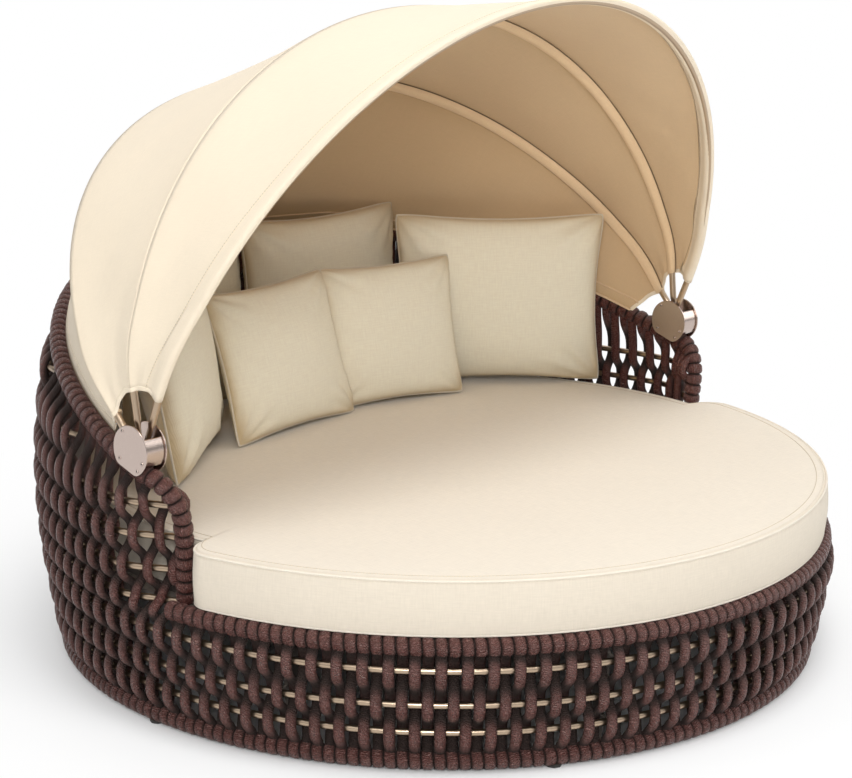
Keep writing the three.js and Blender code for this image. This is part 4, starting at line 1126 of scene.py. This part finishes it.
def build_canopy():
    """Three panels that join over the bows, each spanning from one bow to the next or to the back rim, with a
    narrow binding round its two lower edges."""
    made = finishes()
    thickness = bpy.context.scene.daybed_sizes.cloth
    panels = [("front", "front", "middle", "front_bow", "middle_bow", 0.46),
              ("middle", "middle", "rear", "middle_bow", "rear_bow", 0.50),
              ("rear", "rear", "rim", "rear_bow", "root", 0.60)]
    grids = {}
    for name, near, far, body, next_body, span in panels:
        shell = Shell()
        rows, normal = panel_rows(near, far)
        grids[name] = rows
        # Painted shade over each panel's inner side, deepest on the rear panel.
        add_cloth(shell, rows, normal, thickness, {"front": 0.0, "middle": 0.08, "rear": 0.38}[name])
        for column in (0, -1):
            shell.tube(rows[:, column], normal[:, column], BINDING_WIDTH, 0.0042, sides=10)
        lines = []
        if name == "front":
            lines = [(rows, normal, 0.036, 0.0012, 0.0016, 2), (rows, normal, 0.034, -0.0014, 0.0016, 3)]
        if name == "rear":
            back = rows[::-1], normal[::-1]
            lines = [(*back, 0.030, 0.0012, 0.0016, 2), (*back, 0.028, -0.0024, 0.0044, 1),
                     (*back, 0.0, -0.0016, 0.0060, 1)]
        for grid, facing, distance, lift, size, finish in lines:
            line, out = on_panel(grid, facing, distance, lift)
            shell.tube(line, out, size, sides=8, finish=finish)
        piece = shell.piece(f"cloth_{name}", None, "canopy_fabric",
                            [made["canopy"], made["shaded_inside"], made["outer_stitch"], made["inner_stitch"]])
        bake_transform(piece)
        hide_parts(f"canopy_{name}")
    build_sleeves(grids, made)


def build_sleeves(grids, made):
    """Sleeves inside the canopy: a strip that runs round the underside of each bow and meets the cloth on both
    sides, with a thin dark tube along its front edge as a painted shadow of the fold. The first one also closes
    the front hem."""
    half = bpy.context.scene.daybed_sizes.sleeve / 2
    before = {"front": None, "middle": "front", "rear": "middle"}
    for name, bow in BOWS.items():
        points = arch_along(bow, HEM_RISE[name] - 0.004, np.linspace(0, 1, COLUMNS + 1))
        away = bow_normal(bow, points)
        back = unit(grids[name][2] - grids[name][0])
        shell = Shell()
        if before[name] is None:
            wide = np.array([0.0, 0.7, 1.4, 2.0, 1.6, 1.0, 0.5, 0.0, -0.30, -0.48, -0.48, -0.30])
            lift = np.array([13.0, 12.2, 10.6, 8.6, 7.2, 0.6, -7.0, -10.0, -7.4, -2.0, 6.0, 11.0]) / 1000
            rings = points[:, None] + back[:, None] * (wide * half)[None, :, None]
        else:
            ahead = unit(grids[before[name]][-3] - grids[before[name]][-1])
            wide = np.array([-1.0, -0.5, 0.0, 0.5, 1.0, 0.86, 0.70, 0.40, 0.0, -0.40, -0.70, -0.86])
            lift = np.array([8.0, 8.6, 8.8, 8.6, 8.0, 5.8, -2.0, -8.6, -10.2, -8.6, -2.0, 5.8]) / 1000
            sway = np.where(wide[None, :, None] < 0, -ahead[:, None], back[:, None])
            rings = points[:, None] + sway * (wide * half)[None, :, None]
            # Painted shadow: a thin dark tube along the sleeve's front edge, where the fold is in shade.
            painted_fold_shadow = points + ahead * half * 0.98 + away * 0.0062
            shell.tube(painted_fold_shadow, away, 0.0030, sides=8, finish=1)
        shell.grid(rings + away[:, None] * lift[None, :, None])
        cloth = made["canopy"] if before[name] is None else made["sleeve"]
        shell.piece(f"sleeve_{name}", f"{name}_bow", "canopy_fabric", [cloth, made["seam"]])


# Mattress and cushions


def mattress_edge(angle):
    """Radius of the mattress: full in front, and drawn in behind the posts over a rounded corner."""
    from_front = np.abs((angle + math.pi) % TURN - math.pi)
    front, back, _ = MATTRESS
    corner = np.clip((from_front - math.radians(CORNER_START)) / math.radians(CORNER_SPAN), 0, 1)
    return back + (front - back) * np.sqrt(1 - corner ** 2)


def build_mattress():
    """Turned profile over the edge line: flat bottom, rounded boxing, crowned top, a welt at each seam."""
    made = finishes()
    shell = Shell()
    corner = np.radians(CORNER_START + CORNER_SPAN * np.sin(np.linspace(0.05, math.pi / 2, 22)))
    start, end = math.radians(CORNER_START), math.radians(CORNER_START + CORNER_SPAN + 0.9)
    angle = np.concatenate([
        np.linspace(-start, start, 150), corner, np.linspace(end, TURN - end, 150), TURN - corner[::-1],
    ])
    edge = mattress_edge(angle)
    top = MATTRESS[2]
    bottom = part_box("mattress")[0].z
    bend = np.linspace(0, math.pi / 2, 7)
    size = 0.013
    low = [(size - size * math.sin(b), bottom + size - size * math.cos(b)) for b in bend]
    side = [(-0.0035 * math.sin(math.pi * s), bottom + size + (top - bottom - 2 * size) * s)
            for s in np.linspace(0.1, 0.9, 8)]
    high = [(size - size * math.cos(b), top - size + size * math.sin(b)) for b in bend]
    rings = [polar(angle, edge - inset, height) for inset, height in low + side + high]
    for share in np.linspace(0.96, 0.02, 26):
        crown = 0.007 * (1 - share ** 2)
        radius = (MATTRESS[1] - size) * share + (edge - MATTRESS[1]) * smooth((share - 0.8) / 0.2)
        x, y = radius * np.sin(angle), -radius * np.cos(angle)
        ripple = 0.0012 * np.sin(7 * x + 3) * np.sin(6 * y + 1)
        rings.append(np.stack([x, y, top + crown + ripple * (1 - share ** 4)], -1))
    grid = np.stack(rings)
    around = np.append(angle - angle[0], TURN) * MATTRESS[0]
    flat = spread(around[None, :], run(steps(grid).mean(1))[:, None])
    upper = len(low) + len(side) + len(high) - 1
    flat[upper:] = np.concatenate([grid, grid[:, :1]], 1)[upper:, :, :2]
    # Painted shade: the recess attribute darkens the boxing round the sides, not the top.
    boxing = np.where(np.arange(len(grid)) < upper, 0.2, 0.0)
    shell.grid(grid, flat=flat, recess=boxing[:, None])
    welt = bpy.context.scene.daybed_sizes.welt
    up = np.array([0.0, 0.0, 1.0])
    for inset, height in ((0.0030, top - 0.0035), (0.0035, bottom + 0.0045)):
        shell.tube(polar(angle, edge - inset, height), up, welt, sides=8, closed=True)
    seam = polar(angle, edge - 0.026, top + 0.0002)
    shell.tube(seam, up, 0.0018, sides=6, closed=True, finish=1)
    piece = shell.piece("soft_mattress", "root", "mattress_fabric", [made["mattress"], made["bed_stitch"]])
    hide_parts("mattress")


def pillow(width, height, thickness, seed, count=44):
    """Two crowned faces over a square whose sides draw in: swell is the product of both falls to the power
    0.42, with pulls that run in from the corners. Gives the front, the back, the flat plan and a painted shade,
    darker near the seam and towards the bottom."""
    share = np.sin(np.linspace(-math.pi / 2, math.pi / 2, count + 1))
    u, v = np.meshgrid(share, share, indexing="ij")
    pull = 0.085
    blunt = 1 - 0.035 * (u * v) ** 8
    x = width / 2 * 1.03 * u * blunt * (1 - pull * (1 - v * v))
    z = height / 2 * (1 + v * blunt * (1 - pull * (1 - u * u)))
    inner = np.clip((1 - u * u) * (1 - v * v), 0, None)
    swell = thickness / 2 * inner ** 0.42
    rng = np.random.default_rng(seed)
    pulls = np.zeros_like(u)
    for corner_u in (-1, 1):
        for corner_v in (-1, 1):
            du, dv = u - corner_u, v - corner_v
            distance = np.hypot(du, dv)
            bearing = np.arctan2(dv, du)
            waves = np.sin(bearing * rng.uniform(9, 13) + rng.uniform(0, 6))
            pulls += np.exp(-((distance - 0.28) / 0.26) ** 2) * waves * rng.uniform(0.7, 1.2)
    slow = sum(np.sin(u * rng.uniform(1, 4) + v * rng.uniform(1, 4) + rng.uniform(0, 6)) for _ in range(4))
    puckers = (np.exp(-(1 - np.abs(u)) / 0.07) * np.sin(v * 31 + 2 * np.sin(v * 5 + seed))
               + np.exp(-(1 - np.abs(v)) / 0.07) * np.sin(u * 29 + 2 * np.sin(u * 6 + seed)))
    relief = (0.0095 * pulls + 0.0042 * puckers) * inner ** 0.3 + 0.0030 * slow * inner ** 0.5
    front = np.stack([x, -(swell + relief), z], -1)
    back = np.stack([x, swell + relief * 0.6, z], -1)
    # Painted shade: dark near the seam, and darker towards the bottom of the face.
    shade = 0.8 * np.exp(-inner / 0.06) + 0.4 * np.exp(-inner / 0.3) * (0.25 + 0.75 * smooth(-v))
    return front, back, np.stack([x, z], -1), shade


def build_cushions():
    """Stuffed cushions with a welt round the seam, each turned and leant as it stands."""
    made = finishes()
    welt = bpy.context.scene.daybed_sizes.welt
    for seed, (name, (width, height, thickness, turn, lean)) in enumerate(CUSHIONS.items()):
        shell = Shell()
        front, back, plan, shade = pillow(width, height, thickness, seed + 3)
        matrix = np.array(Matrix.Rotation(math.radians(turn), 3, "Z")
                          @ Matrix.Rotation(-math.radians(lean), 3, "X"))
        low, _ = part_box(name)
        place = np.array([*CUSHION_PLACES[name], low.z])
        front = front @ matrix.T + place
        back = back @ matrix.T + place
        rings = np.concatenate([front, back[:, ::-1][:, 1:-1]], 1)
        plan_ring = np.concatenate([plan, plan[:, ::-1][:, 1:-1] + np.array([0.7, 0.0]), plan[:, :1]], 1)
        # The recess attribute carries the painted shade.
        shell.grid(rings, flat=plan_ring, recess=np.concatenate([shade, shade[:, ::-1][:, 1:-1]], 1))
        seam = np.concatenate([front[:-1, 0], front[-1, :-1], front[:0:-1, -1], front[0, :0:-1]])
        facing = matrix @ np.array([0.0, -1.0, 0.0])
        shell.tube(seam, facing, welt, sides=8, closed=True, finish=1)
        piece = shell.piece(f"soft_{name}", "root", "cushion_fabric", [made["cushion"], made["welt"]])
        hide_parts(name)


def finish_frame():
    """Ribs, deck, glides and pins keep their solids and take their finishes."""
    made = finishes()
    for name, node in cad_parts.items():
        if name.startswith("rib_") or name == "seat_deck":
            material = made["frame"]
        elif name.startswith("glide_"):
            material = made["glide"]
        elif name.endswith("_pivot_pin"):
            material = made["plate"]
        else:
            continue
        node.data.materials.clear()
        node.data.materials.append(material)


# Stage


def build_stage():
    """Pale floor, soft light and the camera at the photograph's angle."""
    scene = bpy.context.scene
    scene.view_settings.view_transform = "Standard"
    scene.world = bpy.data.worlds.new("studio")
    w = wired(scene.world)
    path = w.add("ShaderNodeLightPath").outputs
    direction = w.add("ShaderNodeTexCoord").outputs["Generated"]
    height = w.split(direction)[2]
    glow = w.between(height, 0.34, 0.66, -0.25, 0.9)
    sheen = w.between(height, 0.16, 1.0, -0.05, 0.75)
    glossy = w.add("ShaderNodeMix", {"Factor": path["Is Glossy Ray"], 2: glow, 3: sheen}).outputs[0]
    strength = w.add("ShaderNodeMix", {"Factor": path["Is Camera Ray"], 2: glossy, 3: 1.0}).outputs[0]
    background = w.add("ShaderNodeBackground", {"Color": (1, 1, 1, 1), "Strength": strength})
    w.put(w.add("ShaderNodeOutputWorld").inputs["Surface"], background.outputs[0])

    size = 14.0
    mesh = bpy.data.meshes.new("studio_floor")
    corners = [(-size, -size, -0.0005), (size, -size, -0.0005), (size, size, -0.0005), (-size, size, -0.0005)]
    mesh.from_pydata(corners, [], [(0, 1, 2, 3)])
    floor = bpy.data.objects.new("studio_floor", mesh)
    scene.collection.objects.link(floor)
    material = bpy.data.materials.new("studio_floor")
    w = wired(material)
    path = w.add("ShaderNodeLightPath").outputs
    seen = w.math("MAXIMUM", path["Is Camera Ray"], path["Is Glossy Ray"])
    place = w.add("ShaderNodeTexCoord").outputs["Object"]
    away = w.add("ShaderNodeVectorMath", {0: place}, operation="LENGTH").outputs["Value"]
    clear = w.between(away, 0.0, 1.0, 0.86, 1.9)
    matt = w.add("ShaderNodeBsdfDiffuse", {"Color": (0.86, 0.86, 0.86, 1)})
    white = w.add("ShaderNodeEmission", {"Color": (1, 1, 1, 1), "Strength": 1.0})
    share = w.math("MULTIPLY", seen, w.math("POWER", clear, 0.35))
    both = w.add("ShaderNodeMixShader", {0: share, 1: matt.outputs[0], 2: white.outputs[0]})
    w.put(w.add("ShaderNodeOutputMaterial").inputs["Surface"], both.outputs[0])
    mesh.materials.append(material)

    lamps = [("key", (-4.6, -4.3, 3.3), 2.0, 176), ("top", (-0.8, -1.6, 6.6), 2.4, 185),
             ("fill", (4.5, -3.4, 2.8), 3.6, 70), ("back", (1.5, 5.0, 4.5), 3.0, 50)]
    for name, place, width, power in lamps:
        lamp = bpy.data.lights.new(f"{name}_lamp", "AREA")
        lamp.shape = "DISK"
        lamp.size = width
        lamp.energy = power
        holder = bpy.data.objects.new(f"{name}_lamp", lamp)
        scene.collection.objects.link(holder)
        target = np.array([0.0, 0.0, 0.5])
        away = unit(np.array(place) - target)
        side = unit(np.cross([0.0, 0.0, 1.0], away))
        up = np.cross(away, side)
        holder.matrix_world = placed(side, up, away, place)

    camera = bpy.data.cameras.new("camera")
    camera.sensor_width = 36.0
    camera.lens = 2414.8865 / 852 * 36.0
    camera.clip_end = 60.0
    holder = bpy.data.objects.new("camera", camera)
    scene.collection.objects.link(holder)
    side = np.array([0.69498669, -0.71889151, 0.0137291])
    up = np.array([0.17004878, 0.18288677, 0.96831598])
    holder.matrix_world = placed(side, up, np.cross(side, up), (-3.9479, -3.7436, 1.982))
    scene.camera = holder


def placed(side, up, away, place):
    """A matrix with the given directions as its columns."""
    rows = np.eye(4)
    rows[:3, 0], rows[:3, 1], rows[:3, 2], rows[:3, 3] = side, up, away, place
    return Matrix(rows.tolist())


# Operators


class DAYBED_OT_stage(bpy.types.Operator):
    """Add the floor, the lamps and the camera"""

    bl_idname = "daybed.stage"
    bl_label = "Stage"
    bl_options = {"REGISTER", "UNDO"}

    def execute(self, context):
        build_stage()
        return {"FINISHED"}


class DAYBED_OT_wall(bpy.types.Operator):
    """Add the woven wall, its rods and the wound posts"""

    bl_idname = "daybed.wall"
    bl_label = "Woven wall"
    bl_options = {"REGISTER", "UNDO"}

    def execute(self, context):
        build_wall()
        build_rods()
        build_posts()
        return {"FINISHED"}


class DAYBED_OT_frame(bpy.types.Operator):
    """Finish the ribs, the deck, the glides and the pins"""

    bl_idname = "daybed.frame"
    bl_label = "Inner frame"
    bl_options = {"REGISTER", "UNDO"}

    def execute(self, context):
        finish_frame()
        return {"FINISHED"}


class DAYBED_OT_hubs(bpy.types.Operator):
    """Add the hubs' plates, bodies and screws"""

    bl_idname = "daybed.hubs"
    bl_label = "Hubs"
    bl_options = {"REGISTER", "UNDO"}

    def execute(self, context):
        build_hubs()
        return {"FINISHED"}


class DAYBED_OT_bows(bpy.types.Operator):
    """Add the three bows"""

    bl_idname = "daybed.bows"
    bl_label = "Bows"
    bl_options = {"REGISTER", "UNDO"}

    def execute(self, context):
        build_bows()
        return {"FINISHED"}


class DAYBED_OT_canopy(bpy.types.Operator):
    """Add the canopy's panels and sleeves"""

    bl_idname = "daybed.canopy"
    bl_label = "Canopy"
    bl_options = {"REGISTER", "UNDO"}

    def execute(self, context):
        build_canopy()
        return {"FINISHED"}


class DAYBED_OT_mattress(bpy.types.Operator):
    """Add the mattress"""

    bl_idname = "daybed.mattress"
    bl_label = "Mattress"
    bl_options = {"REGISTER", "UNDO"}

    def execute(self, context):
        build_mattress()
        return {"FINISHED"}


class DAYBED_OT_cushions(bpy.types.Operator):
    """Add the six cushions"""

    bl_idname = "daybed.cushions"
    bl_label = "Cushions"
    bl_options = {"REGISTER", "UNDO"}

    def execute(self, context):
        build_cushions()
        return {"FINISHED"}


OPERATORS = (DAYBED_OT_stage, DAYBED_OT_wall, DAYBED_OT_frame, DAYBED_OT_hubs, DAYBED_OT_bows,
             DAYBED_OT_canopy, DAYBED_OT_mattress, DAYBED_OT_cushions)


class DAYBED_PT_panel(bpy.types.Panel):
    """Lists the daybed's pieces, sizes and colours"""

    bl_idname = "DAYBED_PT_panel"
    bl_label = "Outdoor daybed"
    bl_space_type = "VIEW_3D"
    bl_region_type = "UI"
    bl_category = "Daybed"

    def draw(self, context):
        for operator in OPERATORS:
            self.layout.operator(operator.bl_idname)
        for group in (context.scene.daybed_sizes, context.scene.daybed_colours):
            for name in group.bl_rna.properties.keys():
                if name not in ("rna_type", "name"):
                    self.layout.prop(group, name)


def register():
    """Registers the sizes, the colours, the operators and the panel."""
    for made in (DaybedSizes, DaybedColours, *OPERATORS, DAYBED_PT_panel):
        bpy.utils.register_class(made)
    bpy.types.Scene.daybed_sizes = bpy.props.PointerProperty(type=DaybedSizes)
    bpy.types.Scene.daybed_colours = bpy.props.PointerProperty(type=DaybedColours)


def unregister():
    """Takes back what register added, in the other order."""
    del bpy.types.Scene.daybed_colours
    del bpy.types.Scene.daybed_sizes
    for made in (DAYBED_PT_panel, *reversed(OPERATORS), DaybedColours, DaybedSizes):
        bpy.utils.unregister_class(made)


def main():
    """Builds all pieces through their operators."""
    register()
    for operator in OPERATORS:
        kind, name = operator.bl_idname.split(".")
        getattr(getattr(bpy.ops, kind), name)()


if __name__ == "__main__":
    main()
